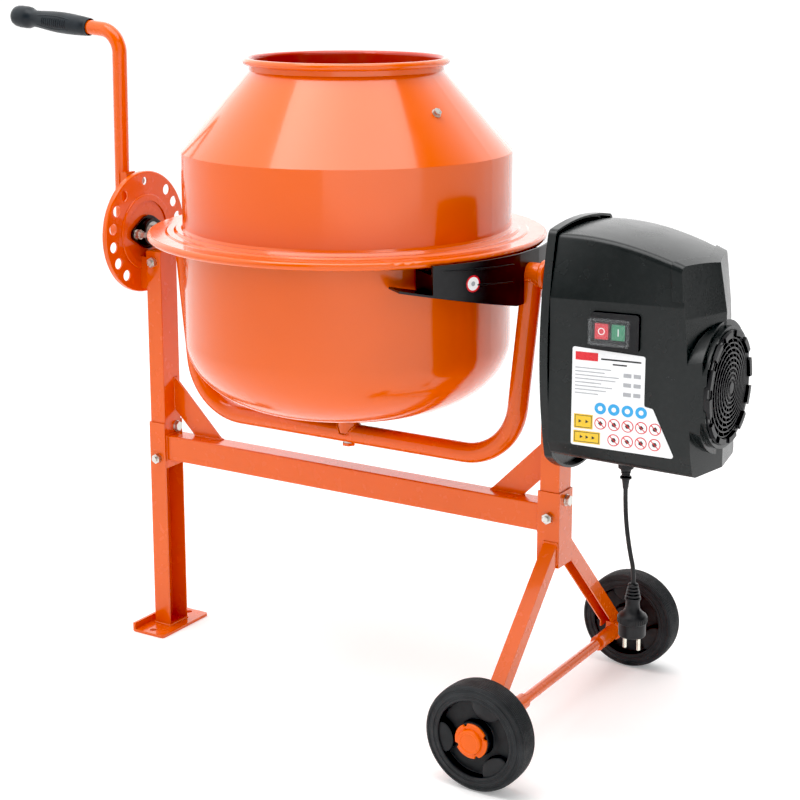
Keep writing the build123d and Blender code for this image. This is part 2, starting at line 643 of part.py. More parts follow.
with BuildPart() as blade_bolts:
    for turn in BLADE_TURN:
        angle = math.radians(turn)
        outward = Vector(math.cos(angle), math.sin(angle), 0)
        normal = outward * math.sin(CONE_SLOPE) + Vector(0, 0, math.cos(CONE_SLOPE))
        seat = outward * 173.4 + Vector(0, 0, 816.4)
        with BuildSketch(Plane(seat + normal * 0.15, z_dir=normal)) as head:
            Circle(6.5)
        extrude(head.sketch, amount=1.2)
        with BuildSketch(Plane(seat + normal * 1.2, z_dir=normal)) as hexagon:
            RegularPolygon(5.0, 6, major_radius=False)
        extrude(hexagon.sketch, amount=4.0)
keep("blade_bolts", blade_bolts)

# ---------------------------------------------------------------- pinion group
with BuildPart() as pinion_shaft:
    rod("x", 227.8, 392, (0, TRUNNION_Z), SHAFT_R)
    chamfer(pinion_shaft.edges().filter_by(GeomType.CIRCLE), 1.0)
keep("pinion_shaft", pinion_shaft)

with BuildPart() as pinion_gear:
    rod("x", 228, 252, (0, TRUNNION_Z), 19.6)
    for index in range(PINION_TEETH):
        turn = 360 / PINION_TEETH * index
        across = Plane((GEAR_FACE[0] - 1, 0, TRUNNION_Z), x_dir=(0, 1, 0), z_dir=(1, 0, 0))
        with BuildSketch(across.rotated((turn, 0, 0))) as tooth:
            with BuildLine():
                Polyline((-2.9, 18.5), (-2.75, 21.5), (-2.1, 24.0), (-1.0, 26.6), (1.0, 26.6),
                         (2.1, 24.0), (2.75, 21.5), (2.9, 18.5), close=True)
            make_face()
        extrude(tooth.sketch, amount=GEAR_FACE[1] - GEAR_FACE[0] + 2)
    rod("x", 220, 260, (0, TRUNNION_Z), SHAFT_R, Mode.SUBTRACT)
keep("pinion_gear", pinion_gear)

PULLEY_X = (366.0, 384.0)
BELT_Y_GAP = 0.4
LARGE_R = 60.0
SMALL_R = 12.0
with BuildPart() as large_pulley:
    rod("x", PULLEY_X[0], PULLEY_X[1], (0, TRUNNION_Z), LARGE_R)
    for rim_x in PULLEY_X:
        way = 1 if rim_x == PULLEY_X[0] else -1
        rod("x", min(rim_x, rim_x + 2 * way), max(rim_x, rim_x + 2 * way), (0, TRUNNION_Z), LARGE_R + 4)
    rod("x", PULLEY_X[0] + 6, PULLEY_X[1] + 1, (0, TRUNNION_Z), LARGE_R - 7, Mode.SUBTRACT)
    rod("x", PULLEY_X[0] + 6, PULLEY_X[1], (0, TRUNNION_Z), 16.0)
    for turn in range(6):
        angle = math.radians(60 * turn)
        centre = (34 * math.cos(angle), TRUNNION_Z + 34 * math.sin(angle))
        rod("x", PULLEY_X[0] - 1, PULLEY_X[0] + 8, centre, 10.0, Mode.SUBTRACT)
    rod("x", PULLEY_X[0] - 1, PULLEY_X[1] + 1, (0, TRUNNION_Z), SHAFT_R, Mode.SUBTRACT)
keep("large_pulley", large_pulley)

# ---------------------------------------------------------------- motor and belt
MOTOR_SHAFT_R = 7.0
with BuildPart() as motor_shaft:
    rod("x", 364, 551, (0, MOTOR_Z), MOTOR_SHAFT_R)
    chamfer(motor_shaft.edges().filter_by(GeomType.CIRCLE), 0.8)
keep("motor_shaft", motor_shaft)

with BuildPart() as small_pulley:
    rod("x", PULLEY_X[0], PULLEY_X[1] + 4, (0, MOTOR_Z), SMALL_R)
    rod("x", PULLEY_X[0], PULLEY_X[0] + 2, (0, MOTOR_Z), SMALL_R + 3)
    rod("x", PULLEY_X[1] - 2, PULLEY_X[1], (0, MOTOR_Z), SMALL_R + 3)
    rod("x", PULLEY_X[0] - 1, PULLEY_X[1] + 5, (0, MOTOR_Z), MOTOR_SHAFT_R, Mode.SUBTRACT)
keep("small_pulley", small_pulley)

with BuildPart() as drive_belt:
    belt_plane = Plane((PULLEY_X[0] + 3.5, 0, MOTOR_Z), x_dir=(0, 1, 0), z_dir=(1, 0, 0))
    centres = TRUNNION_Z - MOTOR_Z
    for gap, mode in ((BELT_Y_GAP + 3.0, Mode.ADD), (BELT_Y_GAP, Mode.SUBTRACT)):
        with BuildSketch(belt_plane) as loop:
            with Locations((0, 0)):
                Circle(SMALL_R + gap)
            with Locations((0, centres)):
                Circle(LARGE_R + gap)
            make_hull()
        extrude(loop.sketch, amount=PULLEY_X[1] - PULLEY_X[0] - 7.0, mode=mode)
keep("drive_belt", drive_belt)

with BuildPart() as motor_body:
    rod("x", 402, 510, (0, MOTOR_Z), 52.0)
    fillet(motor_body.edges().filter_by(GeomType.CIRCLE), 6.0)
    for turn in range(0, 360, 20):
        fin = Plane((410, 0, MOTOR_Z), x_dir=(0, 1, 0), z_dir=(1, 0, 0)).rotated((turn, 0, 0))
        with BuildSketch(fin) as fin_section:
            with Locations((0, 53.5)):
                Rectangle(3.0, 5.0)
        extrude(fin_section.sketch, amount=92)
    rod("x", 396, 402, (0, MOTOR_Z), 22.0)
    rod("x", 390, 515, (0, MOTOR_Z), MOTOR_SHAFT_R + 0.08, Mode.SUBTRACT)
keep("motor_body", motor_body)

with BuildPart() as motor_bracket:
    for side in (-1, 1):
        block((353.0, 500), tuple(sorted((side * 56.5, side * 60.5))), (MOTOR_Z - 24, MOTOR_Z + 24))
    rod("x", 340, 520, (0, MOTOR_Z), 56.6, Mode.SUBTRACT)
keep("motor_bracket", motor_bracket)

with BuildPart() as cooling_fan:
    rod("x", 524, 548, (0, MOTOR_Z), 16.0)
    for turn in range(0, 360, 45):
        vane = Plane((526, 0, MOTOR_Z), x_dir=(0, 1, 0), z_dir=(1, 0, 0)).rotated((turn, 0, 0))
        with BuildSketch(vane) as vane_section:
            with Locations((0, 36)):
                Rectangle(2.4, 44)
        extrude(vane_section.sketch, amount=18)
    rod("x", 520, 550, (0, MOTOR_Z), MOTOR_SHAFT_R, Mode.SUBTRACT)
keep("cooling_fan", cooling_fan)

# ---------------------------------------------------------------- motor housing
SHELL = 3.0
PLATE_LIP = 2.0


def plate_outline(inset):
    """Barrel-shaped outline of the back plate, seen along X, moved inwards by inset."""
    with BuildSketch(Plane((0, 0, 0), x_dir=(0, 1, 0), z_dir=(1, 0, 0))) as outline:
        with BuildLine() as edge:
            ThreePointArc((-79 + inset, 683 - inset), (0, 691 - inset), (79 - inset, 683 - inset))
            ThreePointArc((79 - inset, 683 - inset), (99 - inset, 535), (80 - inset, 397 + inset))
            ThreePointArc((80 - inset, 397 + inset), (0, 366 + inset), (-80 + inset, 397 + inset))
            ThreePointArc((-80 + inset, 397 + inset), (-99 + inset, 535), (-79 + inset, 683 - inset))
        make_face()
        fillet(outline.vertices(), 9.0 - inset / 2)
    return outline.sketch


with BuildPart() as back_plate:
    extrude(plate_outline(-PLATE_LIP).moved(Location((PLATE_X[0], 0, 0))), amount=PLATE_X[1] - PLATE_X[0])
    extrude(
        plate_outline(SHELL - PLATE_LIP).moved(Location((PLATE_X[0] + SHELL, 0, 0))),
        amount=PLATE_X[1] - PLATE_X[0],
        mode=Mode.SUBTRACT,
    )
    rod("x", PLATE_X[0] - 1, PLATE_X[0] + 5, (0, TRUNNION_Z), 15.6, Mode.SUBTRACT)
keep("back_plate", back_plate)


SIDE_FLAT_Z = (420.0, 604.0)


def cover_section(x, half, half_top, half_low, top, low, inset):
    """Cross-section of the cover at one X: flat sides, drawn in above and below, and an arched top."""
    crown = 5.0
    with BuildSketch(Plane((x, 0, 0), x_dir=(0, 1, 0), z_dir=(1, 0, 0))) as section:
        with BuildLine():
            arch_end = (half_top - inset, top - inset)
            ThreePointArc((-half_top + inset, top - inset), (0, top + crown - inset), arch_end)
            Polyline(
                arch_end,
                (half - inset, SIDE_FLAT_Z[1]),
                (half - inset, SIDE_FLAT_Z[0]),
                (half_low - inset, low + inset),
                (-half_low + inset, low + inset),
                (-half + inset, SIDE_FLAT_Z[0]),
                (-half + inset, SIDE_FLAT_Z[1]),
                (-half_top + inset, top - inset),
            )
        make_face()
        fillet(section.vertices(), 9.0 - inset / 2)
    return section.sketch


def cover_body(inset):
    """The cover's loft, moved inwards by inset."""
    loft(
        [
            cover_section(PLATE_X[1] + 0.1 - inset / 10, 96.5, 78.0, 86.0, 680.5, 401.0, inset),
            cover_section(455.0, 84.2, 76.5, 76.5, 673.0, 396.0, inset),
            cover_section(COVER_END_X, COVER_END_HALF, 70.0, 69.5, 647.0, 392.5, inset),
            cover_section(562.0, 70.2, 67.5, 67.5, 636.0, 391.5, inset),
        ]
    )


# the cover's end is a wedge that leans back: height, X of its side corners and X of its ridge
END_LEAN = ((370.0, 546.0, 557.0), (590.0, 532.0, 555.5), (700.0, 519.0, 536.5))


def end_wedge(back):
    """All the space behind the leaning end, moved back by a distance along X."""
    reach = 130.0
    slices = []
    for z, corner_x, ridge_x in END_LEAN:
        side_x = ridge_x - (ridge_x - corner_x) * reach / COVER_END_HALF - back
        with BuildSketch(Plane.XY.offset(z)) as level:
            with BuildLine():
                Polyline(
                    (300, -reach),
                    (side_x, -reach),
                    (ridge_x - back, 0),
                    (side_x, reach),
                    (300, reach),
                    close=True,
                )
            make_face()
        slices.append(level.sketch)
    loft(slices, ruled=True)


BAND_WIDTH = 13.0
with BuildPart() as wedge_outer:
    end_wedge(0.0)

with BuildPart() as wedge_inner:
    end_wedge(SHELL + 1.0)

with BuildPart() as wedge_behind_band:
    end_wedge(BAND_WIDTH)

with BuildPart() as cover_inner:
    cover_body(SHELL)
    add(wedge_inner.part, mode=Mode.INTERSECT)

# raised band that ends the top surface
with BuildPart() as end_band:
    cover_body(-2.0)
    add(wedge_outer.part, mode=Mode.INTERSECT)
    add(wedge_behind_band.part, mode=Mode.SUBTRACT)
    block((480, 600), (-120, 120), (612, 720), Mode.INTERSECT)

# round collar for the vent, cut off flush with the cover's sides
with BuildPart() as collar_steps:
    rod("x", 500, 554, (0, MOTOR_Z), 84.0)
    rod("x", 554, COLLAR_X, (0, MOTOR_Z), 77.0)

with BuildPart() as vent_collar:
    cover_body(0.0)
    add(collar_steps.part, mode=Mode.INTERSECT)

with BuildPart() as housing_cover:
    cover_body(0.0)
    add(wedge_outer.part, mode=Mode.INTERSECT)
    add(end_band.part)
    add(vent_collar.part)
    add(cover_inner.part, mode=Mode.SUBTRACT)
    rod("x", 520, 570, (0, MOTOR_Z), 66.0, Mode.SUBTRACT)
    rod("x", GRILLE_X[0] - 0.2, 570, (0, MOTOR_Z), 72.2, Mode.SUBTRACT)
keep("housing_cover", housing_cover)

# domed grille: rings, spokes and a lugged rim
with BuildPart() as vent_grille:
    rod("x", GRILLE_X[0], 562, (0, MOTOR_Z), 72.0)
    rod("x", GRILLE_X[0] - 1, 563, (0, MOTOR_Z), 64.5, Mode.SUBTRACT)
    for index in range(6):
        outer = 62.0 - 10.0 * index
        dome = 562.0 + index * 0.8
        rod("x", 559, dome, (0, MOTOR_Z), outer)
        rod("x", 558, dome + 1, (0, MOTOR_Z), outer - 5.0, Mode.SUBTRACT)
    for turn in range(0, 180, 30):
        spoke = Plane((GRILLE_X[0], 0, MOTOR_Z), x_dir=(0, 1, 0), z_dir=(1, 0, 0)).rotated((turn, 0, 0))
        with BuildSketch(spoke) as bar:
            Rectangle(3.2, 136)
        extrude(bar.sketch, amount=4.0)
    rod("x", *GRILLE_X, (0, MOTOR_Z), 9.0)
    for turn in range(0, 360, 30):
        lug = Plane((558, 0, MOTOR_Z), x_dir=(0, 1, 0), z_dir=(1, 0, 0)).rotated((turn, 0, 0))
        with BuildSketch(lug) as lug_section:
            with Locations((0, 67.4)):
                Rectangle(24, 7.0)
        extrude(lug_section.sketch, amount=7.0)
keep("vent_grille", vent_grille)

HOUSING_SCREWS = ((-66, 664), (66, 664), (-84, 600), (84, 600), (-84, 470), (84, 470), (-60, 412), (60, 412))
with BuildPart() as housing_screws:
    for screw_y, screw_z in HOUSING_SCREWS:
        rod("x", PLATE_X[0] - 3.0, PLATE_X[0], (screw_y, screw_z), 4.2)
keep("housing_screws", housing_screws)

# switch and label sit on the near side, which leans towards the end
FACE_START = Vector(PLATE_X[1] + 0.1, -96.5, 0)
FACE_END = Vector(COVER_END_X, -COVER_END_HALF, 0)
FACE_ALONG = (FACE_END - FACE_START).normalized()
FACE_OUT = Vector(FACE_ALONG.Y, -FACE_ALONG.X, 0)


def face_plane(x, z, lift):
    """A plane on the cover's near side, its x axis along the side and its y axis up."""
    point = FACE_START + FACE_ALONG * ((x - FACE_START.X) / FACE_ALONG.X) + FACE_OUT * lift
    return Plane((point.X, point.Y, z), x_dir=FACE_ALONG, z_dir=FACE_OUT)


SWITCH = (446.0, 568.5)
with BuildPart() as switch_bezel:
    with BuildSketch(face_plane(*SWITCH, -6.0)) as bezel:
        RectangleRounded(61, 46, 4)
    extrude(bezel.sketch, amount=11.0)
    with BuildSketch(face_plane(*SWITCH, -7.0)) as window:
        with Locations((-7, -1)):
            Rectangle(45, 28)
    extrude(window.sketch, amount=14.0, mode=Mode.SUBTRACT)
keep("switch_bezel", switch_bezel)

with BuildPart() as cut_cover:
    add(housing_cover.part)
    with BuildSketch(face_plane(*SWITCH, -20.0)) as opening:
        RectangleRounded(61.4, 46.4, 4.2)
    extrude(opening.sketch, amount=30.0, mode=Mode.SUBTRACT)
    rod("z", 380, 405, (449, -50), 7.1, Mode.SUBTRACT)
keep("housing_cover", cut_cover)

with BuildPart() as switch_body:
    with BuildSketch(face_plane(SWITCH[0] - 7, SWITCH[1] - 1, -40.0)) as socket:
        RectangleRounded(44.4, 27.4, 1)
    extrude(socket.sketch, amount=35.0)
    for shift in (-10.7, 10.7):
        with BuildSketch(face_plane(SWITCH[0] - 7, SWITCH[1] - 1, -9.0)) as well:
            with Locations((shift, 0)):
                Rectangle(17.6, 20.6)
        extrude(well.sketch, amount=20.0, mode=Mode.SUBTRACT)
keep("switch_body", switch_body)

BUTTON_TRAVEL = 3.0
for name, shift in (("stop_button", -10.7), ("start_button", 10.7)):
    with BuildPart() as button:
        with BuildSketch(face_plane(SWITCH[0] - 7, SWITCH[1] - 1, -5.5)) as cap:
            with Locations((shift, 0)):
                RectangleRounded(16.8, 19.8, 1.2)
        extrude(cap.sketch, amount=7.5)
    keep(name, button)

with BuildPart() as switch_cover:
    with BuildSketch(face_plane(SWITCH[0] - 7, SWITCH[1] - 1, 5.2)) as cover_rim:
        RectangleRounded(52, 34, 3)
    extrude(cover_rim.sketch, amount=3.0)
    with BuildSketch(face_plane(SWITCH[0] - 7, SWITCH[1] - 1, 4.0)) as cover_well:
        RectangleRounded(49, 31, 2.4)
    extrude(cover_well.sketch, amount=3.2, mode=Mode.SUBTRACT)
keep("switch_cover", switch_cover)

LABEL = (392.0, 420.0)
with BuildPart() as label_plate:
    with BuildSketch(face_plane(*LABEL, 0.3)) as label:
        with BuildLine():
            Polyline((0, 0), (0, 125.5), (93, 120.5), (93, 58), (104, 56), (133, -4), close=True)
        make_face()
        fillet(label.vertices(), 3.0)
    extrude(label.sketch, amount=0.5)
keep("label_plate", label_plate)

# ---------------------------------------------------------------- cable gland, cord and plug
GLAND = (449.0, -50.0)
GLAND_LOW = 372.0
with BuildPart() as cable_gland:
    rod("z", 378, 396, GLAND, 7.0)
    rod("z", 386, 393, GLAND, 10.0)
    rod("z", 379, 381, GLAND, 5.4)
    rod("z", GLAND_LOW, 376, GLAND, 7.5)
    rod("z", 376, 378, GLAND, 5.2)
    rod("z", 400, 405, GLAND, 9.5)
    rod("z", 395, 401, GLAND, 7.0)
keep("cable_gland", cable_gland)

CORD_R = 2.9
CORD_POINTS = [
    (449.0, -50.0, 372.0),
    (449.0, -50.0, 348.0),
    (451.6, -50.4, 312.0),
    (458.0, -50.9, 276.0),
    (463.4, -50.0, 254.0),
    (463.4, -50.0, 236.0),
]


def bend_radii(points):
    """The radius of each bend: 0.45 of the shorter run, divided by the tangent of half the turn."""
    radii = []
    for before, here, after in zip(points, points[1:], points[2:]):
        come = Vector(*here) - Vector(*before)
        leave = Vector(*after) - Vector(*here)
        turn = math.radians(come.get_angle(leave))
        radii.append(0.45 * min(come.length, leave.length) / math.tan(turn / 2))
    return radii


CORD_RADII = bend_radii(CORD_POINTS)
with BuildPart() as power_cord:
    with BuildLine() as route:
        FilletPolyline(*CORD_POINTS, radius=CORD_RADII)
    with BuildSketch(Plane(route.line @ 0, z_dir=route.line % 0)) as cord_section:
        Circle(CORD_R)
    sweep(cord_section.sketch, path=route.line)
keep("power_cord", power_cord)
CORD_LENGTH = sum(edge.length for edge in route.edges())
print("cord length", round(CORD_LENGTH, 2), "radii", [round(radius, 1) for radius in CORD_RADII])
print("cord volume", round(power_cord.part.volume, 1), round(CORD_LENGTH * math.pi * CORD_R**2, 1))

PLUG = (CORD_POINTS[-1][0], CORD_POINTS[-1][1])
PLUG_TOP = CORD_POINTS[-1][2]
with BuildPart() as plug_body:
    with BuildSketch(Plane.XZ) as plug_half:
        with BuildLine():
            Polyline(
                (0, PLUG_TOP),
                (7.0, PLUG_TOP),
                (11.0, PLUG_TOP - 24),
                (9.0, PLUG_TOP - 27),
                (9.0, PLUG_TOP - 33),
                (14.0, PLUG_TOP - 40),
                (19.0, PLUG_TOP - 44),
                (19.0, PLUG_TOP - 52),
                (17.5, PLUG_TOP - 54),
                (17.5, PLUG_TOP - 70),
                (0, PLUG_TOP - 70),
                close=True,
            )
        make_face()
    revolve(plug_half.sketch, axis=Axis.Z)
    for side in (-1, 1):
        block((-3, 3), (side * 20 - 3.5, side * 20 + 3.5), (PLUG_TOP - 80, PLUG_TOP - 52), Mode.SUBTRACT)
plug_body.part.move(Location((PLUG[0], PLUG[1], 0)))
keep("plug_body", plug_body)

PIN_R = 2.4
with BuildPart() as plug_pins:
    for shift in (-9.5, 9.5):
        rod("z", PLUG_TOP - 89, PLUG_TOP - 70, (PLUG[0] + shift, PLUG[1]), PIN_R)
    chamfer(plug_pins.edges().filter_by(GeomType.CIRCLE).group_by(Axis.Z)[0], 0.6)
keep("plug_pins", plug_pins)

# ---------------------------------------------------------------- gear guard on the bail
GUARD_WALL = 3.0
GUARD_INNER_R = 231.0
GUARD_R = 284.0
GUARD_SIDE_X = 282.8
GUARD_FLOOR = 573.0
GUARD_TOP = 641.0
GUARD_GEAR_Z = 629.0
GUARD_WALL_TURNS = (-35.0, 20.0)
GUARD_TONGUE_TURN = -44.0


def guard_sector(inner, outer, side_x, turns, low, top, lift):
    """A sector of a ring around the drum, cut off at side_x, and cut below by the rising floor plane."""
    reach = 400.0
    corners = [(reach * math.cos(math.radians(turn)), reach * math.sin(math.radians(turn))) for turn in turns]
    with BuildSketch(Plane.XY.offset(low)) as plan:
        Circle(outer)
        Circle(inner, mode=Mode.SUBTRACT)
        with BuildLine():
            Polyline((0, 0), *corners, close=True)
        make_face(mode=Mode.INTERSECT)
        Rectangle(2 * side_x, 2 * reach, mode=Mode.INTERSECT)
    extrude(plan.sketch, amount=top - low)
    rising = Plane((280.0, -49.0, 576.0 + lift), x_dir=(0.927, -0.382, 0), z_dir=(0.075, 0.182, 0.98))
    split(bisect_by=rising, keep=Keep.TOP)


with BuildPart() as guard_cavity:
    guard_sector(
        GUARD_INNER_R - 5,
        GUARD_R - GUARD_WALL,
        GUARD_SIDE_X - GUARD_WALL,
        (GUARD_WALL_TURNS[0] + 0.6, GUARD_WALL_TURNS[1] - 0.6),
        GUARD_FLOOR + GUARD_WALL,
        GUARD_TOP + 10,
        GUARD_WALL,
    )

with BuildPart() as guard_tongue_space:
    guard_sector(
        GUARD_INNER_R - 5,
        GUARD_R + 5,
        GUARD_R + 5,
        (GUARD_TONGUE_TURN - 6, GUARD_WALL_TURNS[0]),
        GUARD_FLOOR,
        GUARD_TOP + 10,
        GUARD_WALL,
    )

with BuildPart() as gear_guard:
    guard_sector(
        GUARD_INNER_R,
        GUARD_R,
        GUARD_SIDE_X,
        (GUARD_TONGUE_TURN, GUARD_WALL_TURNS[1]),
        GUARD_FLOOR,
        GUARD_TOP,
        0.0,
    )
    add(guard_cavity.part, mode=Mode.SUBTRACT)
    add(guard_tongue_space.part, mode=Mode.SUBTRACT)
    # room for the crown gear and the rolled lip to turn
    rod("z", GUARD_GEAR_Z, GUARD_TOP + 10, (0, 0), GUARD_R - 2 * GUARD_WALL, Mode.SUBTRACT)
    rod("x", 265, 300, (0, TRUNNION_Z), 15.05, Mode.SUBTRACT)
    rod("z", 500, 612, (BAIL_TOP_X - 1.5, 0), 15.8, Mode.SUBTRACT)
keep("gear_guard", gear_guard)

# ---------------------------------------------------------------- wheels
RIB_COUNT = 5
CAP_R = 22.5
for place, side in (("front", -1), ("rear", 1)):
    with BuildPart() as wheel:
        with BuildSketch(Plane.XY) as wheel_half:
            with BuildLine():
                Polyline(
                    (AXLE_R + 0.1, -20.5),
                    (20, -20.5),
                    (20, -8),
                    (46, -8),
                    (50, -16.5),
                    (58, -18.5),
                    (66, -17.0),
                    (WHEEL_R, -13.5),
                    (WHEEL_R, 13.5),
                    (66, 17.0),
                    (58, 18.5),
                    (50, 16.5),
                    (46, 8),
                    (20, 8),
                    (20, 18.5),
                    (AXLE_R + 0.1, 18.5),
                    close=True,
                )
            make_face()
            for rib in range(RIB_COUNT):
                with Locations((WHEEL_R, (rib - 2) * 5.6)):
                    Rectangle(2.4, 1.2, mode=Mode.SUBTRACT)
        revolve(wheel_half.sketch, axis=Axis.Y)
    outward = Location((AXLE_X, side * WHEEL_Y, WHEEL_R), (0, 0, 0 if side < 0 else 180))
    wheel.part.move(outward)
    keep("wheel_" + place, wheel)

    with BuildPart() as cap:
        rod("y", -24.5, -20.6, (0, 0), CAP_R)
        for turn in range(0, 360, 90):
            angle = math.radians(turn + 10)
            notch = (CAP_R * math.cos(angle), CAP_R * math.sin(angle))
            rod("y", -26.0, -20.0, notch, 2.2, Mode.SUBTRACT)
        rod("y", -30, -24.5, (0, 0), 15.0)
        fillet(cap.edges().filter_by(GeomType.CIRCLE).sort_by(Axis.Y)[0], 2.5)
        rod("y", -27.0, -20.0, (0, 0), AXLE_R + 0.3, Mode.SUBTRACT)
    cap.part.move(outward)
    keep("hub_cap_" + place, cap)

# ---------------------------------------------------------------- output
os.makedirs("parts", exist_ok=True)
for name, built in PIECES.items():
    built.part.label = name
    built.part.move(Location((BOX_SHIFT, 0, 0)))
    export_step(built.part, f"parts/{name}.step")
print(len(PIECES), "pieces")
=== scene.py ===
import json
import math

import bmesh
import bpy
from mathutils import Matrix, Vector


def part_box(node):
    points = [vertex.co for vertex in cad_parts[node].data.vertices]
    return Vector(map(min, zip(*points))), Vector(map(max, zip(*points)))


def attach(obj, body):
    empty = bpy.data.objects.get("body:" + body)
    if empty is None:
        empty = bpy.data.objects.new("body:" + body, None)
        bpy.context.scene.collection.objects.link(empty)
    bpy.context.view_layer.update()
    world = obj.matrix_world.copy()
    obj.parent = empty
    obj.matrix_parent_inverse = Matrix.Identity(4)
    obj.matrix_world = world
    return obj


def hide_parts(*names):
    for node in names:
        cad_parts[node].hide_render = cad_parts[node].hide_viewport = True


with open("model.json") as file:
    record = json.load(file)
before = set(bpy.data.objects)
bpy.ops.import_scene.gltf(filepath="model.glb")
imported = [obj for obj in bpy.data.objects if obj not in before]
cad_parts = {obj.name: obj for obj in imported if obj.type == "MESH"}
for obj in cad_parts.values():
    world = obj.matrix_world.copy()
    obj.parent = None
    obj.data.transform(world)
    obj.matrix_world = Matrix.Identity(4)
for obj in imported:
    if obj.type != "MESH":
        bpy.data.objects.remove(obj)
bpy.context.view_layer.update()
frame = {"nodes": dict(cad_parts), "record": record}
nodes = frame["nodes"]
joints = {joint["name"]: joint for joint in frame["record"]["behaviour"]["joints"]}

MM = 0.001
TILT = Vector(joints["bail_tilt"]["pos_m"])
DRUM_X = TILT.x
AXLE = Vector(joints["wheel_front_spin"]["pos_m"])
MOTOR_Z = joints["motor_spin"]["pos_m"][2]

# ------------------------------------ camera
CAMERA_TURN = math.radians(31.46)
CAMERA_PITCH = math.radians(12.24)
CAMERA_DISTANCE = 2.43136
CAMERA_TARGET = Vector((0.1029, 0.0, 0.5263))
LENS_MM = 79.88
SENSOR_MM = 36.0
LENS_SHIFT = -0.10
VIEW_LIMIT = 120.0


def make_camera():
    """A long lens from the right-hand front, slightly above."""
    back = Vector(
        (
            math.sin(CAMERA_TURN) * math.cos(CAMERA_PITCH),
            -math.cos(CAMERA_TURN) * math.cos(CAMERA_PITCH),
            math.sin(CAMERA_PITCH),
        )
    )
    right = Vector((math.cos(CAMERA_TURN), math.sin(CAMERA_TURN), 0.0))
    up = back.cross(right)
    data = bpy.data.cameras.new("camera")
    data.lens = LENS_MM
    data.sensor_width = SENSOR_MM
    data.shift_y = LENS_SHIFT
    data.clip_end = VIEW_LIMIT
    camera = bpy.data.objects.new("camera", data)
    turn = Matrix((right, up, back)).transposed().to_4x4()
    place = Matrix.Translation(CAMERA_TARGET + back * CAMERA_DISTANCE)
    camera.matrix_world = place @ turn
    bpy.context.collection.objects.link(camera)
    bpy.context.scene.camera = camera


make_camera()


# ------------------------------------ small helpers
POINT_R = 1e-7  # a turned ring smaller than this is a single point


def around(steps):
    """Evenly spaced turns of one full circle, in radians."""
    return [2 * math.pi * step / steps for step in range(steps)]


def add_piece(name, mesh, body, material, smooth=35.0, replaced=()):
    """Links a mesh as a piece that rides on a body."""
    piece = bpy.data.objects.new(name, mesh)
    bpy.context.collection.objects.link(piece)
    mesh.materials.clear()
    mesh.materials.append(material)
    shade(piece, smooth)
    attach(piece, body)
    if replaced:
        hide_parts(*replaced)
    return piece


def shade(piece, angle):
    """Smooth shading with sharp edges above the angle, in degrees."""
    mesh = piece.data
    for face in mesh.polygons:
        face.use_smooth = True
    mesh.set_sharp_from_angle(angle=math.radians(angle))


def mesh_from(make):
    """Runs make(bm) on a new bmesh and returns the mesh."""
    bm = bmesh.new()
    make(bm)
    bmesh.ops.recalc_face_normals(bm, faces=bm.faces)
    mesh = bpy.data.meshes.new("mesh")
    bm.to_mesh(mesh)
    bm.free()
    return mesh


def lathe(bm, profile, steps=96, place=Matrix.Identity(4), closed=False, pull=None):
    """Turns (radius, height) points about Z, then places the result. Radius 0 closes an end.

    pull(radius, turn) gives the radius to use at that turn, in radians.
    """
    rings = []
    for radius, height in profile:
        if radius < POINT_R:
            rings.append([bm.verts.new(place @ Vector((0, 0, height)))])
            continue
        ring = []
        for turn in around(steps):
            reach = pull(radius, turn) if pull else radius
            point = Vector((reach * math.cos(turn), reach * math.sin(turn), height))
            ring.append(bm.verts.new(place @ point))
        rings.append(ring)
    pairs = list(zip(rings, rings[1:]))
    if closed:
        pairs.append((rings[-1], rings[0]))
    for low, high in pairs:
        join_rings(bm, low, high)


def join_rings(bm, low, high):
    """Faces between two rings of points, either of which may be a single point."""
    count = max(len(low), len(high))
    for index in range(count):
        after = (index + 1) % count
        if len(low) == 1 and len(high) == 1:
            continue
        if len(low) == 1:
            bm.faces.new((low[0], high[index], high[after]))
        elif len(high) == 1:
            bm.faces.new((low[index], low[after], high[0]))
        else:
            bm.faces.new((low[index], low[after], high[after], high[index]))


def box(bm, size, place):
    """A box of the given size, centred on its place."""
    made = bmesh.ops.create_cube(bm, size=1.0)
    bmesh.ops.scale(bm, vec=size, verts=made["verts"])
    bmesh.ops.transform(bm, matrix=place, verts=made["verts"])


def tube(bm, points, radii, closed=False, steps=8):
    """A round tube through points, with a radius at each."""
    rings = []
    count = len(points)
    side = None
    for index, point in enumerate(points):
        before = points[(index - 1) % count] if closed or index else point
        after = points[(index + 1) % count] if closed or index < count - 1 else point
        along = (after - before).normalized()
        if side is None:
            side = along.orthogonal().normalized()
        side = (side - along * side.dot(along)).normalized()
        other = along.cross(side)
        ring = []
        for turn in around(steps):
            outward = side * math.cos(turn) + other * math.sin(turn)
            ring.append(bm.verts.new(point + outward * radii[index]))
        rings.append(ring)
    for low, high in zip(rings, rings[1:]):
        join_rings(bm, low, high)
    if closed:
        join_rings(bm, rings[-1], rings[0])
    else:
        bm.faces.new(rings[0])
        bm.faces.new(rings[-1])


def ribbon(bm, points, width, low, high):
    """A bar of rectangular section along points in a plane, standing from low to high along Z.

    low and high are numbers, or functions of the point.
    """
    rings = []
    for index, point in enumerate(points):
        before = points[max(index - 1, 0)]
        after = points[min(index + 1, len(points) - 1)]
        along = (after - before).normalized()
        side = Vector((-along.y, along.x, 0)) * width / 2
        base = low(point) if callable(low) else low
        crest = high(point) if callable(high) else high
        ring = []
        for offset, level in ((-side, base), (side, base), (side, crest), (-side, crest)):
            ring.append(bm.verts.new((point.x + offset.x, point.y + offset.y, level)))
        rings.append(ring)
    for one, other in zip(rings, rings[1:]):
        join_rings(bm, one, other)
    bm.faces.new(rings[0])
    bm.faces.new(rings[-1])


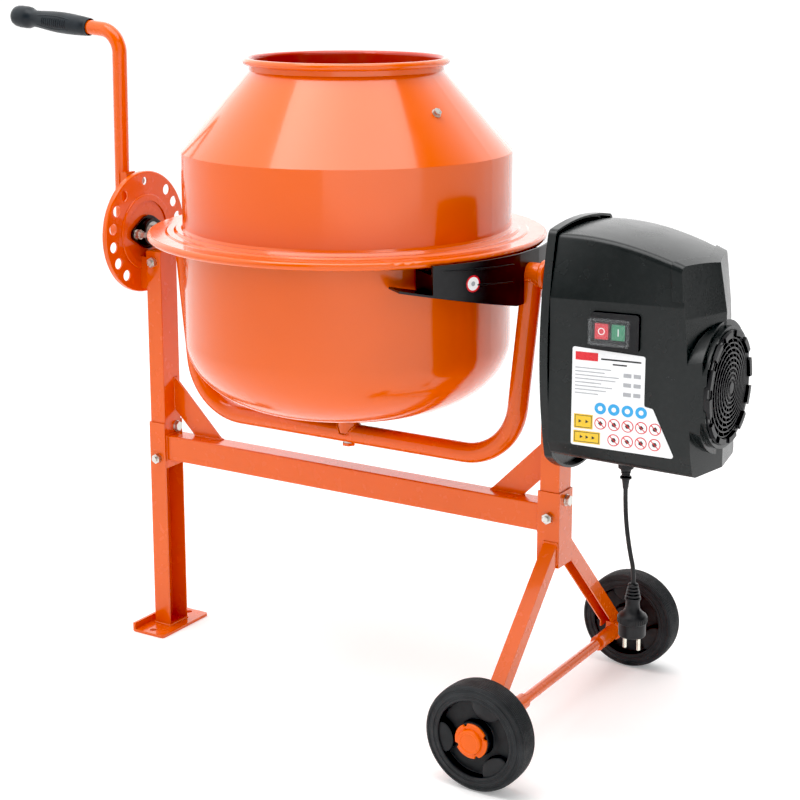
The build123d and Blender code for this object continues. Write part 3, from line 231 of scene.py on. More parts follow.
def turned_frame(x_axis, y_axis, origin):
    """A matrix with the given local X and Y axes and its local Z across them."""
    z_axis = x_axis.cross(y_axis)
    return Matrix.Translation(origin) @ Matrix((x_axis, y_axis, z_axis)).transposed().to_4x4()


def resample(points, spacing, closed):
    """Points at an even spacing along a polyline."""
    route = list(points) + ([points[0]] if closed else [])
    result = []
    carry = 0.0
    for start, end in zip(route, route[1:]):
        length = (end - start).length
        place = carry
        while place < length:
            result.append(start.lerp(end, place / length))
            place += spacing
        carry = place - length
    return result


# ------------------------------------ cord
CORD_POINTS = [
    (0.4670, -0.0500, 0.3720),
    (0.4670, -0.0500, 0.3480),
    (0.4696, -0.0504, 0.3120),
    (0.4760, -0.0509, 0.2760),
    (0.4814, -0.0500, 0.2540),
    (0.4814, -0.0500, 0.2360),
]
CORD_DIAMETER = 0.0058


# ------------------------------------ materials
MIX_COLOURS = (6, 7)  # the colour inputs of a Mix node, which have no name of their own
MIX_RESULT = 2
BEVEL_SAMPLES = 4
EDGE_DOTS = (0.80, 0.985)  # dot of true and rounded normal: fully an edge, and flat


class Shader:
    """A node-based material with object coordinates, a rounded-edge normal and helpers."""

    def __init__(self, name, edge_radius):
        self.material = bpy.data.materials.new(name)
        self.material.use_nodes = True
        self.tree = self.material.node_tree
        self.principled = self.tree.nodes["Principled BSDF"]
        texture = self.tree.nodes.new("ShaderNodeTexCoord")
        self.coords = texture.outputs["Object"]
        self.outward = texture.outputs["Normal"]
        self.normal = None
        if edge_radius > 0:
            bevel = self.tree.nodes.new("ShaderNodeBevel")
            bevel.samples = BEVEL_SAMPLES
            bevel.inputs["Radius"].default_value = edge_radius
            self.rounded = bevel.outputs["Normal"]
            self.normal = self.rounded

    def link(self, start, end):
        """Connects an output socket to an input socket."""
        self.tree.links.new(start, end)

    def feed(self, socket, value):
        """Gives an input socket a number, a tuple or another socket."""
        if isinstance(value, (int, float, tuple)):
            socket.default_value = value
        else:
            self.link(value, socket)

    def set(self, **values):
        """Sets principled sockets by name, with _ for a space."""
        for name, value in values.items():
            self.principled.inputs[name.replace("_", " ")].default_value = value

    def noise(self, scale, detail=3.0, stretch=(1, 1, 1), rough=0.5):
        """A noise texture in object space. scale is per metre."""
        mapping = self.tree.nodes.new("ShaderNodeMapping")
        mapping.inputs["Scale"].default_value = stretch
        self.link(self.coords, mapping.inputs["Vector"])
        noise = self.tree.nodes.new("ShaderNodeTexNoise")
        noise.inputs["Scale"].default_value = scale
        noise.inputs["Detail"].default_value = detail
        noise.inputs["Roughness"].default_value = rough
        self.link(mapping.outputs["Vector"], noise.inputs["Vector"])
        return noise.outputs["Fac"]

    def cells(self, scale):
        """A cell texture's distance in object space. scale is per metre."""
        cells = self.tree.nodes.new("ShaderNodeTexVoronoi")
        cells.inputs["Scale"].default_value = scale
        self.link(self.coords, cells.inputs["Vector"])
        return cells.outputs["Distance"]

    def spread(self, value, low, high, start=0.3, end=0.7):
        """Maps a 0 to 1 pattern to a range."""
        node = self.tree.nodes.new("ShaderNodeMapRange")
        node.inputs["From Min"].default_value = start
        node.inputs["From Max"].default_value = end
        node.inputs["To Min"].default_value = low
        node.inputs["To Max"].default_value = high
        self.link(value, node.inputs["Value"])
        return node.outputs["Result"]

    def mix(self, factor, first, second):
        """Mixes two colours, each a tuple or a socket."""
        node = self.tree.nodes.new("ShaderNodeMix")
        node.data_type = "RGBA"
        self.link(factor, node.inputs["Factor"])
        for index, colour in zip(MIX_COLOURS, (first, second)):
            opaque = (*colour, 1.0) if isinstance(colour, tuple) else colour
            self.feed(node.inputs[index], opaque)
        return node.outputs[MIX_RESULT]

    def math(self, operation, first, second):
        """A math node on sockets or numbers."""
        node = self.tree.nodes.new("ShaderNodeMath")
        node.operation = operation
        self.feed(node.inputs[0], first)
        self.feed(node.inputs[1], second)
        return node.outputs["Value"]

    def vector(self, operation, first, second=None):
        """A vector math node on sockets or tuples. A dot product gives a number."""
        node = self.tree.nodes.new("ShaderNodeVectorMath")
        node.operation = operation
        self.feed(node.inputs[0], first)
        if second is not None:
            self.feed(node.inputs[1], second)
        return node.outputs["Value" if operation == "DOT_PRODUCT" else "Vector"]

    def edges(self):
        """0 on flats, 1 along edges that the rounded normal turns. The materials paint highlights
        with it.
        """
        geometry = self.tree.nodes.new("ShaderNodeNewGeometry")
        turned = self.vector("DOT_PRODUCT", geometry.outputs["Normal"], self.rounded)
        return self.spread(turned, 1.0, 0.0, *EDGE_DOTS)

    def bump(self, height, distance, strength=1.0):
        """Adds a bump on top of the normal so far. distance is in metres."""
        node = self.tree.nodes.new("ShaderNodeBump")
        node.inputs["Strength"].default_value = strength
        node.inputs["Distance"].default_value = distance
        self.link(height, node.inputs["Height"])
        if self.normal is not None:
            self.link(self.normal, node.inputs["Normal"])
        self.normal = node.outputs["Normal"]

    def done(self, colour, roughness):
        """Connects what was made and returns the material."""
        self.link(colour, self.principled.inputs["Base Color"])
        self.link(roughness, self.principled.inputs["Roughness"])
        if self.normal is not None:
            self.link(self.normal, self.principled.inputs["Normal"])
        return self.material


def shaded(colour, factor):
    """A colour multiplied by a factor."""
    return tuple(channel * factor for channel in colour)


ORANGE = (0.74, 0.110, 0.0042)
ORANGE_DEEP = (0.60, 0.040, 0.004)
# a paler orange painted along edges as a highlight
ORANGE_EDGE_HIGHLIGHT = (0.88, 0.17, 0.035)
# a darker red painted inside the drum as shade
INSIDE_SHADE = (0.55, 0.030, 0.008)
CEMENT = (0.42, 0.25, 0.18)
CHARCOAL = (0.0135, 0.0155, 0.0155)
DUST = (0.07, 0.07, 0.07)
BLACK = (0.010, 0.010, 0.011)
FLOOR_GLOW = 0.21


def orange_colour(shader, drift_scale, speck_share):
    """Orange with a slow drift and fine deeper specks."""
    drift = shader.spread(shader.noise(drift_scale, 2.0), 0.0, 1.0, 0.25, 0.75)
    colour = shader.mix(drift, shaded(ORANGE, 0.95), shaded(ORANGE, 1.04))
    specks = shader.spread(shader.noise(900.0, 2.0), 0.0, speck_share, 0.66, 0.74)
    return shader.mix(specks, colour, ORANGE_DEEP)


def orange_paint(name):
    """Glossy powder coat: slow colour drift, orange peel and a painted highlight along the edges."""
    shader = Shader(name, 0.0008)
    # painted highlight: along edges the colour is mixed towards a paler orange
    edges = shader.math("MULTIPLY", shader.edges(), 0.35)
    colour = shader.mix(edges, orange_colour(shader, 7.0, 0.35), ORANGE_EDGE_HIGHLIGHT)
    roughness = shader.spread(shader.noise(60.0, 3.0), 0.22, 0.30, 0.2, 0.8)
    shader.bump(shader.noise(330.0, 2.0), 0.000024)
    shader.bump(shader.noise(45.0, 2.0), 0.000024)
    shader.set(Coat_Weight=0.55, Coat_Roughness=0.04, IOR=1.5, Specular_IOR_Level=0.25)
    return shader.done(colour, roughness)


def drum_paint(name):
    """Orange outside, with painted shade inside: a darker red on the surfaces that face the axis,
    with a faint dry cement haze on the inside.
    """
    shader = Shader(name, 0.0008)
    # painted shade: surfaces that face the drum's axis take the darker inside colour
    offset = shader.vector("SUBTRACT", shader.coords, (DRUM_X, 0.0, 0.0))
    level = shader.vector("MULTIPLY", offset, (1.0, 1.0, 0.0))
    facing = shader.vector("DOT_PRODUCT", shader.outward, shader.vector("NORMALIZE", level))
    inside = shader.spread(facing, 1.0, 0.0, -0.35, -0.25)
    haze = shader.spread(shader.noise(40.0, 5.0), 0.0, 0.12, 0.45, 0.8)
    inner = shader.mix(haze, INSIDE_SHADE, CEMENT)
    colour = shader.mix(inside, orange_colour(shader, 6.0, 0.3), inner)
    gloss = shader.spread(shader.noise(50.0, 3.0), 0.17, 0.25)
    roughness = shader.math("ADD", gloss, shader.math("MULTIPLY", inside, 0.12))
    shader.bump(shader.noise(260.0, 2.0), 0.00002)
    shader.bump(shader.noise(11.0, 1.0), 0.0009, 0.6)
    shader.set(Coat_Weight=0.7, Coat_Roughness=0.09, IOR=1.5, Specular_IOR_Level=0.25)
    return shader.done(colour, roughness)


def plastic(name, base, low, high, grain=1400.0, depth=0.000015, dust=0.12):
    """Moulded plastic with a fine spark-eroded grain, a painted highlight along the edges and faint
    dust.
    """
    shader = Shader(name, 0.0009)
    tone = shader.spread(shader.noise(14.0, 4.0), 0.0, 1.0, 0.2, 0.8)
    colour = shader.mix(tone, shaded(base, 0.9), shaded(base, 1.15))
    dusty = shader.spread(shader.noise(120.0, 6.0, rough=0.7), 0.0, dust, 0.45, 0.95)
    colour = shader.mix(dusty, colour, DUST)
    # painted highlight: along edges the colour is mixed towards a paler tone of the base
    edges = shader.math("MULTIPLY", shader.edges(), 0.4)
    colour = shader.mix(edges, colour, shaded(base, 2.6))
    roughness = shader.spread(shader.noise(35.0, 4.0), low, high, 0.2, 0.8)
    shader.bump(shader.noise(grain, 2.0), depth)
    shader.bump(shader.noise(18.0, 2.0), 0.0001, 0.5)
    shader.set(Specular_IOR_Level=0.34)
    return shader.done(colour, roughness)


def rubber(name, base=(0.014, 0.0155, 0.017), low=0.45, high=0.62):
    """Moulded rubber: matt, with a powdery bloom and small pits."""
    shader = Shader(name, 0.0008)
    bloom = shader.spread(shader.noise(30.0, 6.0, rough=0.65), 0.0, 0.5, 0.45, 0.8)
    colour = shader.mix(bloom, base, shaded(base, 3.0))
    roughness = shader.spread(shader.noise(80.0, 4.0), low, high)
    shader.bump(shader.cells(700.0), 0.00008)
    shader.bump(shader.noise(1100.0, 2.0), 0.00005)
    shader.set(Specular_IOR_Level=0.35)
    return shader.done(colour, roughness)


def metal(
    name, base, low, high, stretch=(1, 1, 1), scale=260.0, depth=0.00003, metallic=1.0
):
    """Plated or turned metal with drawn marks and slight staining."""
    shader = Shader(name, 0.0005)
    marks = shader.noise(scale, 4.0, stretch)
    drawn = shader.spread(marks, 0.0, 1.0)
    colour = shader.mix(drawn, shaded(base, 0.82), shaded(base, 1.05))
    dull = shader.spread(shader.noise(90.0, 5.0), 0.0, 0.25, 0.5, 0.75)
    colour = shader.mix(dull, colour, shaded(base, 0.45))
    roughness = shader.spread(marks, low, high)
    shader.bump(marks, depth)
    shader.set(Metallic=metallic)
    return shader.done(colour, roughness)


def cast_iron(name):
    """Dark cast gear metal with a coarse skin and grease."""
    shader = Shader(name, 0.0008)
    skin = shader.noise(420.0, 5.0)
    grease = shader.spread(shader.noise(60.0, 4.0), 0.0, 1.0, 0.4, 0.6)
    colour = shader.mix(grease, (0.085, 0.08, 0.075), (0.028, 0.024, 0.02))
    dry = shader.spread(skin, 0.42, 0.62)
    roughness = shader.math("SUBTRACT", dry, shader.math("MULTIPLY", grease, 0.2))
    shader.bump(skin, 0.0003)
    shader.set(Metallic=0.8)
    return shader.done(colour, roughness)


def clear_plastic(name):
    """Thin clear cap with fine scuffs."""
    shader = Shader(name, 0.0006)
    scuffs = shader.noise(300.0, 5.0, (1, 1, 6))
    scuffed = shader.spread(scuffs, 0.0, 1.0)
    colour = shader.mix(scuffed, (0.72, 0.76, 0.78), (0.86, 0.89, 0.90))
    roughness = shader.spread(scuffs, 0.05, 0.16)
    shader.bump(shader.noise(60.0, 3.0), 0.00008)
    shader.set(Alpha=0.05, IOR=1.49)
    return shader.done(colour, roughness)


def film(name, base, low=0.22, high=0.34):
    """Printed vinyl: even ink with a faint dot texture and soft lamination ripple."""
    shader = Shader(name, 0.0002)
    ink = shader.spread(shader.noise(1500.0, 2.0), 0.0, 1.0, 0.35, 0.65)
    colour = shader.mix(ink, shaded(base, 0.93), base)
    roughness = shader.spread(shader.noise(70.0, 3.0), low, high)
    shader.bump(shader.noise(90.0, 2.0), 0.00004)
    return shader.done(colour, roughness)


def floor_material():
    """Pale studio floor, which glows a little so that it stays as white as the surround."""
    shader = Shader("studio_floor", 0.0)
    tone = shader.spread(shader.noise(1.3, 3.0), 0.0, 1.0)
    colour = shader.mix(tone, (0.90, 0.90, 0.90), (0.93, 0.93, 0.93))
    roughness = shader.spread(shader.noise(3.0, 3.0), 0.75, 0.85)
    shader.set(
        Specular_IOR_Level=0.0, Emission_Color=(1.0, 1.0, 1.0, 1.0), Emission_Strength=FLOOR_GLOW
    )
    return shader.done(colour, roughness)


paint = orange_paint("orange_paint_look")
drum_look = drum_paint("drum_paint_look")
housing_look = plastic("housing_plastic_look", CHARCOAL, 0.22, 0.30)
guard_look = plastic("guard_plastic_look", (0.014, 0.014, 0.015), 0.30, 0.42)
bezel_look = plastic("bezel_plastic_look", BLACK, 0.30, 0.42, depth=0.00003)
black_enamel = plastic("black_enamel_look", BLACK, 0.25, 0.4, grain=500.0, dust=0.15)
nylon_look = plastic("nylon_look", (0.55, 0.52, 0.43), 0.4, 0.5, dust=0.1)
wheel_look = rubber("wheel_rubber_look")
grip_look = rubber("grip_rubber_look", (0.010, 0.014, 0.018), 0.36, 0.50)
belt_look = rubber("belt_rubber_look")
cord_look = rubber("cord_rubber_look", (0.011, 0.011, 0.012), 0.38, 0.5)
zinc_look = metal("zinc_look", (0.66, 0.65, 0.61), 0.24, 0.42)
steel_look = metal("steel_look", (0.50, 0.49, 0.47), 0.22, 0.40, (1, 12, 12))
alloy_look = metal("alloy_look", (0.58, 0.59, 0.60), 0.35, 0.5, scale=500.0, depth=0.00008)
motor_look = metal(
    "motor_look", (0.36, 0.36, 0.37), 0.4, 0.55, scale=600.0, depth=0.0001, metallic=0.9
)
pin_look = metal("pin_look", (0.72, 0.69, 0.60), 0.14, 0.26, (12, 12, 1))
gear_look = cast_iron("gear_look")
red_look = film("red_button_look", (0.66, 0.012, 0.03), 0.25, 0.35)
green_look = film("green_button_look", (0.008, 0.22, 0.10), 0.25, 0.35)
cap_look = plastic("hub_cap_plastic_look", shaded(ORANGE, 1.05), 0.32, 0.42, dust=0.05)
clear_look = clear_plastic("clear_cover_look")
label_look = film("label_film_look", (0.86, 0.87, 0.88))
ink_white = film("ink_white", (0.88, 0.88, 0.88))
ink_blue = film("ink_blue", (0.03, 0.36, 0.72))
ink_red = film("ink_red", (0.66, 0.02, 0.03))
ink_yellow = film("ink_yellow", (0.80, 0.52, 0.03))
ink_black = film("ink_black", (0.02, 0.02, 0.02))
ink_grey = film("ink_grey", (0.38, 0.39, 0.41))

SLOT_LOOKS = {
    "orange_paint": paint,
    "black_paint": black_enamel,
    "cast_gear": gear_look,
    "bare_steel": steel_look,
    "zinc": zinc_look,
    "motor_alloy": alloy_look,
    "copper_core": motor_look,
    "housing_plastic": housing_look,
    "guard_plastic": guard_look,
    "nylon": nylon_look,
    "wheel_rubber": wheel_look,
    "grip_rubber": grip_look,
    "belt_rubber": belt_look,
    "cord_rubber": cord_look,
    "red_plastic": red_look,
    "green_plastic": green_look,
    "clear_cover": clear_look,
    "label_film": label_look,
    "plated_pin": pin_look,
}
NODE_LOOKS = {
    "upper_drum": drum_look,
    "lower_drum": drum_look,
    "switch_bezel": bezel_look,
    "switch_body": bezel_look,
}
CAD_SMOOTH = 32.0
for part in frame["record"]["subparts"]:
    carried = nodes[part["node"]]
    look = NODE_LOOKS.get(part["node"], SLOT_LOOKS[part["material_slot"]])
    carried.data.materials.clear()
    carried.data.materials.append(look)
    shade(carried, CAD_SMOOTH)


# ------------------------------------ cord, strain relief and plug
NECK_RIBS = 5
PLUG_RIBS = 36
PLUG_RIB_R = 0.0188
PLUG_FLAT = 0.93  # no grip ribs where the turn's sine is above this
RELIEF_RIBS = 3


def make_cord():
    """The free cord as one smooth spline."""
    data = bpy.data.curves.new("cord", "CURVE")
    data.dimensions = "3D"
    data.bevel_depth = CORD_DIAMETER / 2
    data.bevel_resolution = 6
    data.resolution_u = 16
    spline = data.splines.new("NURBS")
    spline.points.add(len(CORD_POINTS) - 1)
    for point, place in zip(spline.points, CORD_POINTS):
        point.co = (*place, 1.0)
    spline.order_u = 3
    spline.use_endpoint_u = True
    data.materials.append(cord_look)
    cord = bpy.data.objects.new("cord", data)
    bpy.context.collection.objects.link(cord)
    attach(cord, "frame")
    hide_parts("power_cord")
    return cord


def plug_mesh(bm):
    """Round earthed plug: ribbed neck, shouldered body with grip ribs, slimmer contact end."""
    place = Matrix.Translation(Vector(CORD_POINTS[-1]))
    profile = [(0.0, 0.0), (0.0045, 0.0), (0.0062, -0.001)]
    for rib in range(NECK_RIBS):
        low = -0.002 - 0.0042 * rib
        radius = 0.0068 + 0.0009 * rib
        groove = radius - 0.0011
        profile += [(radius, low), (radius, low - 0.0024)]
        profile += [(groove, low - 0.0027), (groove, low - 0.0039)]
    profile += [
        (0.0088, -0.0245), (0.0090, -0.030), (0.0098, -0.0345), (0.0140, -0.0395), (0.0180, -0.0425),
        (0.0190, -0.0445), (0.0190, -0.0515), (0.0184, -0.0525), (0.0175, -0.0530),
        (0.0175, -0.0690), (0.0168, -0.0700), (0.0, -0.0700),
    ]
    lathe(bm, profile, 72, place)
    for turn in around(PLUG_RIBS):
        if abs(math.sin(turn)) > PLUG_FLAT:
            continue
        rib_place = Vector((PLUG_RIB_R * math.cos(turn), PLUG_RIB_R * math.sin(turn), -0.048))
        middle = Matrix.Translation(place @ rib_place)
        box(bm, (0.0012, 0.0012, 0.0062), middle @ Matrix.Rotation(turn, 4, "Z"))


def relief_mesh(bm):
    """Gland nut with a tapered, ribbed strain relief."""
    place = Matrix.Translation((CORD_POINTS[0][0], CORD_POINTS[0][1], 0.0))
    profile = [
        (0.0, 0.3965), (0.0092, 0.3965), (0.0100, 0.3955), (0.0100, 0.3870), (0.0090, 0.3858),
        (0.0070, 0.3852),
    ]
    for rib in range(RELIEF_RIBS):
        high = 0.3845 - 0.0030 * rib
        radius = 0.0068 - 0.0007 * rib
        groove = radius - 0.0013
        profile += [(radius, high), (radius, high - 0.0016)]
        profile += [(groove, high - 0.0019), (groove, high - 0.0027)]
    profile += [
        (0.0070, 0.3755), (0.0076, 0.3742), (0.0074, 0.3728), (0.0050, 0.3715), (0.0042, 0.3660),
        (0.0036, 0.3600), (0.0031, 0.3590), (0.0, 0.3590),
    ]
    lathe(bm, profile, 48, place)


cord = make_cord()
plug = add_piece(
    "plug_shell", mesh_from(plug_mesh), "frame", cord_look, 30.0, ("plug_body",)
)
add_piece(
    "strain_relief", mesh_from(relief_mesh), "frame", cord_look, 30.0, ("cable_gland",)
)


# ------------------------------------ weld beads
BEAD_STEP = 0.0009
BEAD_RIPPLE = 0.16  # share of the radius
RIPPLE_TURN = 1.55  # radians from one point to the next
FRAME_BEAD_R = 0.0022
BAIL_BEAD_R = 0.0018
BAR_END = 0.002  # the crossbar's right-hand bead sits this far in from its end
BRACE_UPRIGHT = 0.050
BRACE_FOOT = (0.037, 0.087)
LEG_SIDES = (0.0225, 0.0025)  # in from the wheel socket's right-hand face
LEG_ROOT = (0.2277, 0.2560)
SLEEVE_Y = 0.1655
SLEEVE_BEAD_R = 0.0105
YOKE_END = 0.2865
CRANK_REACH = 0.401
END_SADDLE = (0.0142, 0.0152)  # radii of the tube and of the pipe that it meets
CRANK_SADDLE = (0.0107, 0.0141)
BOSS_SADDLE = (0.0157, 0.0140)
STRAP_FACE = 0.0035
STRAP_CORNERS = ((-0.010, -0.011), (0.010, -0.011), (0.010, 0.012), (-0.010, 0.012))
BOSS_Z = 0.354


def bead(name, body, routes, radius):
    """Rippled weld beads along closed or open routes, each (points, closed)."""

    def make(bm):
        for points, closed in routes:
            places = resample(points, BEAD_STEP, closed)
            waves = [math.sin(index * RIPPLE_TURN) for index in range(len(places))]
            tube(bm, places, [radius * (1.0 + BEAD_RIPPLE * wave) for wave in waves], closed)

    add_piece(name, mesh_from(make), body, paint, 60.0)


def rectangle_loop(low, high, axis):
    """Corner points of a rectangle across an axis, from a box's low and high corners."""
    first, second = [index for index in range(3) if index != axis]
    points = []
    for use_first, use_second in ((0, 0), (1, 0), (1, 1), (0, 1)):
        point = Vector(low)
        point[first] = (low, high)[use_first][first]
        point[second] = (low, high)[use_second][second]
        points.append(point)
    return points


def saddle(centre, tube_radius, pipe_radius, up, along):
    """Where a round tube along `up` meets a pipe along `along`, both Vectors."""
    side = up.cross(along)
    points = []
    for turn in around(48):
        across = tube_radius * math.sin(turn)
        rise = math.sqrt(max(pipe_radius**2 - across**2, 0.0))
        points.append(centre + along * tube_radius * math.cos(turn) + side * across + up * rise)
    return points


def frame_welds():
    """Beads on the stand."""
    routes = []
    bar_low, bar_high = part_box("crossbar")
    for x in (bar_low[0], bar_high[0] - BAR_END):
        low = Vector((x, bar_low[1], bar_low[2]))
        high = Vector((x, bar_high[1], bar_high[2]))
        routes.append((rectangle_loop(low, high, 0), True))
    brace_low, brace_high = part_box("corner_braces")
    foot = brace_low[2]
    top = brace_high[2]
    near, far = BRACE_FOOT
    for y in (brace_low[1], brace_high[1]):
        for x, way in ((brace_low[0], 1), (brace_high[0], -1)):
            routes.append(([Vector((x, y, top - BRACE_UPRIGHT)), Vector((x, y, top))], False))
            ends = [Vector((x + way * near, y, foot)), Vector((x + way * far, y, foot))]
            routes.append((ends, False))
    leg_low, leg_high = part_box("stand_leg")
    high = Vector((leg_high[0], leg_high[1], leg_low[2]))
    routes.append((rectangle_loop(Vector(leg_low), high, 2), True))
    socket_low, socket_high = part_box("wheel_socket")
    for y, way in ((socket_low[1], -1), (socket_high[1], 1)):
        low = Vector((socket_high[0] - LEG_SIDES[0], y, LEG_ROOT[0]))
        high = Vector((socket_high[0] - LEG_SIDES[1], y, LEG_ROOT[1]))
        routes.append((rectangle_loop(low, high, 1), True))
        sleeve = []
        for step in range(33):
            turn = math.pi * (0.95 - 1.9 * step / 32)
            across = SLEEVE_BEAD_R * math.sin(turn)
            drop = SLEEVE_BEAD_R * math.cos(turn)
            sleeve.append(Vector((AXLE.x + across, way * SLEEVE_Y, AXLE.z - drop)))
        routes.append((sleeve, False))
    bead("frame_weld_beads", "frame", routes, FRAME_BEAD_R)


def bail_welds():
    """Beads on the tilting yoke and its crank."""
    along = Vector((1, 0, 0))
    up = Vector((0, 0, 1))
    routes = []
    for side in (-1, 1):
        centre = Vector((DRUM_X + side * YOKE_END, 0, TILT.z))
        routes.append((saddle(centre, *END_SADDLE, -up, along), True))
    crank_x = DRUM_X - CRANK_REACH
    centre = Vector((crank_x, 0, TILT.z))
    routes.append((saddle(centre, *CRANK_SADDLE, up, along), True))
    pin_low, pin_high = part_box("lock_pin")
    lock_z = (pin_low[2] + pin_high[2]) / 2
    face = crank_x + STRAP_FACE
    strap = [Vector((face, across, lock_z + height)) for across, height in STRAP_CORNERS]
    routes.append((strap, True))
    centre = Vector((DRUM_X, 0, BOSS_Z))
    routes.append((saddle(centre, *BOSS_SADDLE, up, along), True))
    bead("bail_weld_beads", "bail", routes, BAIL_BEAD_R)


frame_welds()
bail_welds()


# ------------------------------------ label and switch marks
FACE_START = Vector((0.3791, -0.0965, 0.0))
FACE_END = Vector((0.5550, -0.0735, 0.0))
FACE_ALONG = (FACE_END - FACE_START).normalized()
FACE_OUT = Vector((FACE_ALONG.y, -FACE_ALONG.x, 0.0))
LABEL_CORNER = (0.410, 0.420)
INK_LIFTS = (0.86, 0.98, 1.10, 1.22)  # printed layers above the cover's face, in millimetres
INK_THICK = 0.12
FRAME_LINE = 0.7


def on_face(x, z, along, up, lift):
    """A point on the motor cover's near side, in millimetres from a start at x and z in metres."""
    start = FACE_START + FACE_ALONG * ((x - FACE_START.x) / FACE_ALONG.x)
    return start + FACE_ALONG * along * MM + Vector((0, 0, z + up * MM)) + FACE_OUT * lift * MM


def patch(bm, outline, lift, thick=INK_THICK, corner=LABEL_CORNER):
    """A thin printed patch from (along, up) points in millimetres."""
    low = [bm.verts.new(on_face(*corner, along, up, lift)) for along, up in outline]
    high = [bm.verts.new(on_face(*corner, along, up, lift + thick)) for along, up in outline]
    bm.faces.new(low)
    bm.faces.new(high)
    for index in range(len(low)):
        after = (index + 1) % len(low)
        bm.faces.new((low[index], low[after], high[after], high[index]))


def bar(left, right, low, high):
    """A rectangle outline."""
    return [(left, low), (right, low), (right, high), (left, high)]


def disc(along, up, radius, steps=32):
    """A round outline, or a regular polygon with few steps."""
    return [
        (along + radius * math.cos(turn), up + radius * math.sin(turn)) for turn in around(steps)
    ]


BLUE_ROW = [(37.4 + 17.4 * index, 49.7) for index in range(4)]
RED_ROWS = [(38.0 + 17.4 * index, 30.6) for index in range(5)]
RED_ROWS += [(55.3 + 17.4 * index, 11.0) for index in range(4)]
YELLOW_FRAMES = ((5.0, 26.6, 23.0, 38.8), (4.6, 36.6, 4.4, 17.4))
YELLOW_SIGNS = ((11.0, 31.0), (20.0, 31.0), (13.0, 11.0), (20.5, 11.0), (28.5, 11.0))
GREY_LINES = (46, 38, 56, 52, 34, 48, 40, 30)
BLUE_R = 7.4
RED_R = 7.7
RED_HOLE_R = 6.5
SLASH = ((-5.0, 4.2), (-4.2, 5.0), (5.0, -4.2), (4.2, -5.0))


def label_marks():
    """Plain coloured shapes where the label is printed. No letters, figures or pictures."""
    first, second, third, fourth = INK_LIFTS

    def blue(bm):
        for along, up in BLUE_ROW:
            patch(bm, disc(along, up, BLUE_R), first)

    def red(bm):
        patch(bm, bar(4.0, 33.0, 109.0, 119.5), first)
        for along, up in RED_ROWS:
            patch(bm, disc(along, up, RED_R), first)

    def white(bm):
        for along, up in RED_ROWS:
            patch(bm, disc(along, up, RED_HOLE_R), second)
        for index, (along, up) in enumerate(BLUE_ROW):
            patch(bm, disc(along, up, 3.4 - 0.3 * (index % 2), 6 + 2 * index), second)

    def yellow(bm):
        patch(bm, bar(3.6, 28.0, 21.6, 40.2), first)
        patch(bm, bar(3.2, 38.0, 3.0, 18.8), first)

    def black(bm):
        for left, right, low, high in YELLOW_FRAMES:
            patch(bm, bar(left, right, low, low + FRAME_LINE), second)
            patch(bm, bar(left, right, high - FRAME_LINE, high), second)
            patch(bm, bar(left, left + FRAME_LINE, low, high), second)
            patch(bm, bar(right - FRAME_LINE, right, low, high), second)
        for along, up in YELLOW_SIGNS:
            patch(bm, disc(along, up, 2.6, 3), second)
        for index, (along, up) in enumerate(RED_ROWS):
            patch(bm, disc(along, up, 3.2, 4 + index % 3), third)
        patch(bm, bar(37.0, 88.0, 111.5, 113.5), first)
        patch(bm, bar(52.0, 70.0, 106.0, 107.8), first)

    def grey(bm):
        for row, length in enumerate(GREY_LINES):
            high = 100.0 - 4.6 * row
            patch(bm, bar(4.0, 4.0 + length, high - 1.2, high), first)
        for row in range(3):
            for left, right in ((66.0, 76.0), (79.0, 88.0)):
                patch(bm, bar(left, right, 92.0 - 12.0 * row, 97.0 - 12.0 * row), first)

    def slash(bm):
        for along, up in RED_ROWS:
            patch(bm, [(along + x, up + y) for x, y in SLASH], fourth)

    for make, ink in (
        (blue, ink_blue), (red, ink_red), (white, ink_white), (yellow, ink_yellow),
        (black, ink_black), (grey, ink_grey), (slash, ink_red),
    ):
        name = f"label_{make.__name__}_marks"
        add_piece(name, mesh_from(make), "frame", ink)


SWITCH_CORNER = (0.457, 0.5675)
BUTTON_LIFT = 2.02
BUTTON_INK = 0.1


def button_marks():
    """A ring on the stop button and a bar on the start button."""

    def mark(bm, outline):
        patch(bm, outline, BUTTON_LIFT, BUTTON_INK, SWITCH_CORNER)

    def ring(bm):
        outer = disc(-10.7, 0.0, 4.4, 40)
        inner = disc(-10.7, 0.0, 3.3, 40)
        for index in range(40):
            after = (index + 1) % 40
            mark(bm, [outer[index], outer[after], inner[after], inner[index]])

    def line(bm):
        mark(bm, bar(10.1, 11.3, -4.4, 4.4))

    add_piece("stop_mark", mesh_from(ring), "stop_button", ink_white)
    add_piece("start_mark", mesh_from(line), "start_button", ink_white)


label_marks()
button_marks()

# ------------------------------------ crank grip
GRIP_START = Vector((-0.4340, 0.0, 0.9086))
GRIP_END = Vector((-0.58317, 0.0, 0.92243))
GRIP_PROFILE = [
    (10.7, 7.0), (11.6, 0.6), (12.1, 0.0), (12.9, 0.5), (13.1, 2.5), (12.9, 4.0), (13.4, 5.0),
    (14.3, 16.0), (15.2, 30.0), (15.7, 44.0), (15.6, 60.0), (14.9, 75.0), (13.8, 88.0), (12.8, 98.0),
    (12.5, 106.0), (12.7, 110.0), (14.4, 114.5), (16.0, 118.5), (16.4, 123.0), (16.4, 135.0),
    (15.7, 141.0), (14.0, 145.5), (11.3, 148.4), (7.0, 149.5), (0.0, 149.8),
]
GRIP_COLLAR = 5  # points of the profile before the part whose radius grows steadily
GRIP_RIBS = 12


def grip_radius(reach):
    """The grip's radius at a distance from its open end, in millimetres."""
    outer = GRIP_PROFILE[GRIP_COLLAR:]
    for (radius, start), (next_radius, end) in zip(outer, outer[1:]):
        if start <= reach <= end:
            return radius + (next_radius - radius) * (reach - start) / (end - start)
    return outer[0][0]


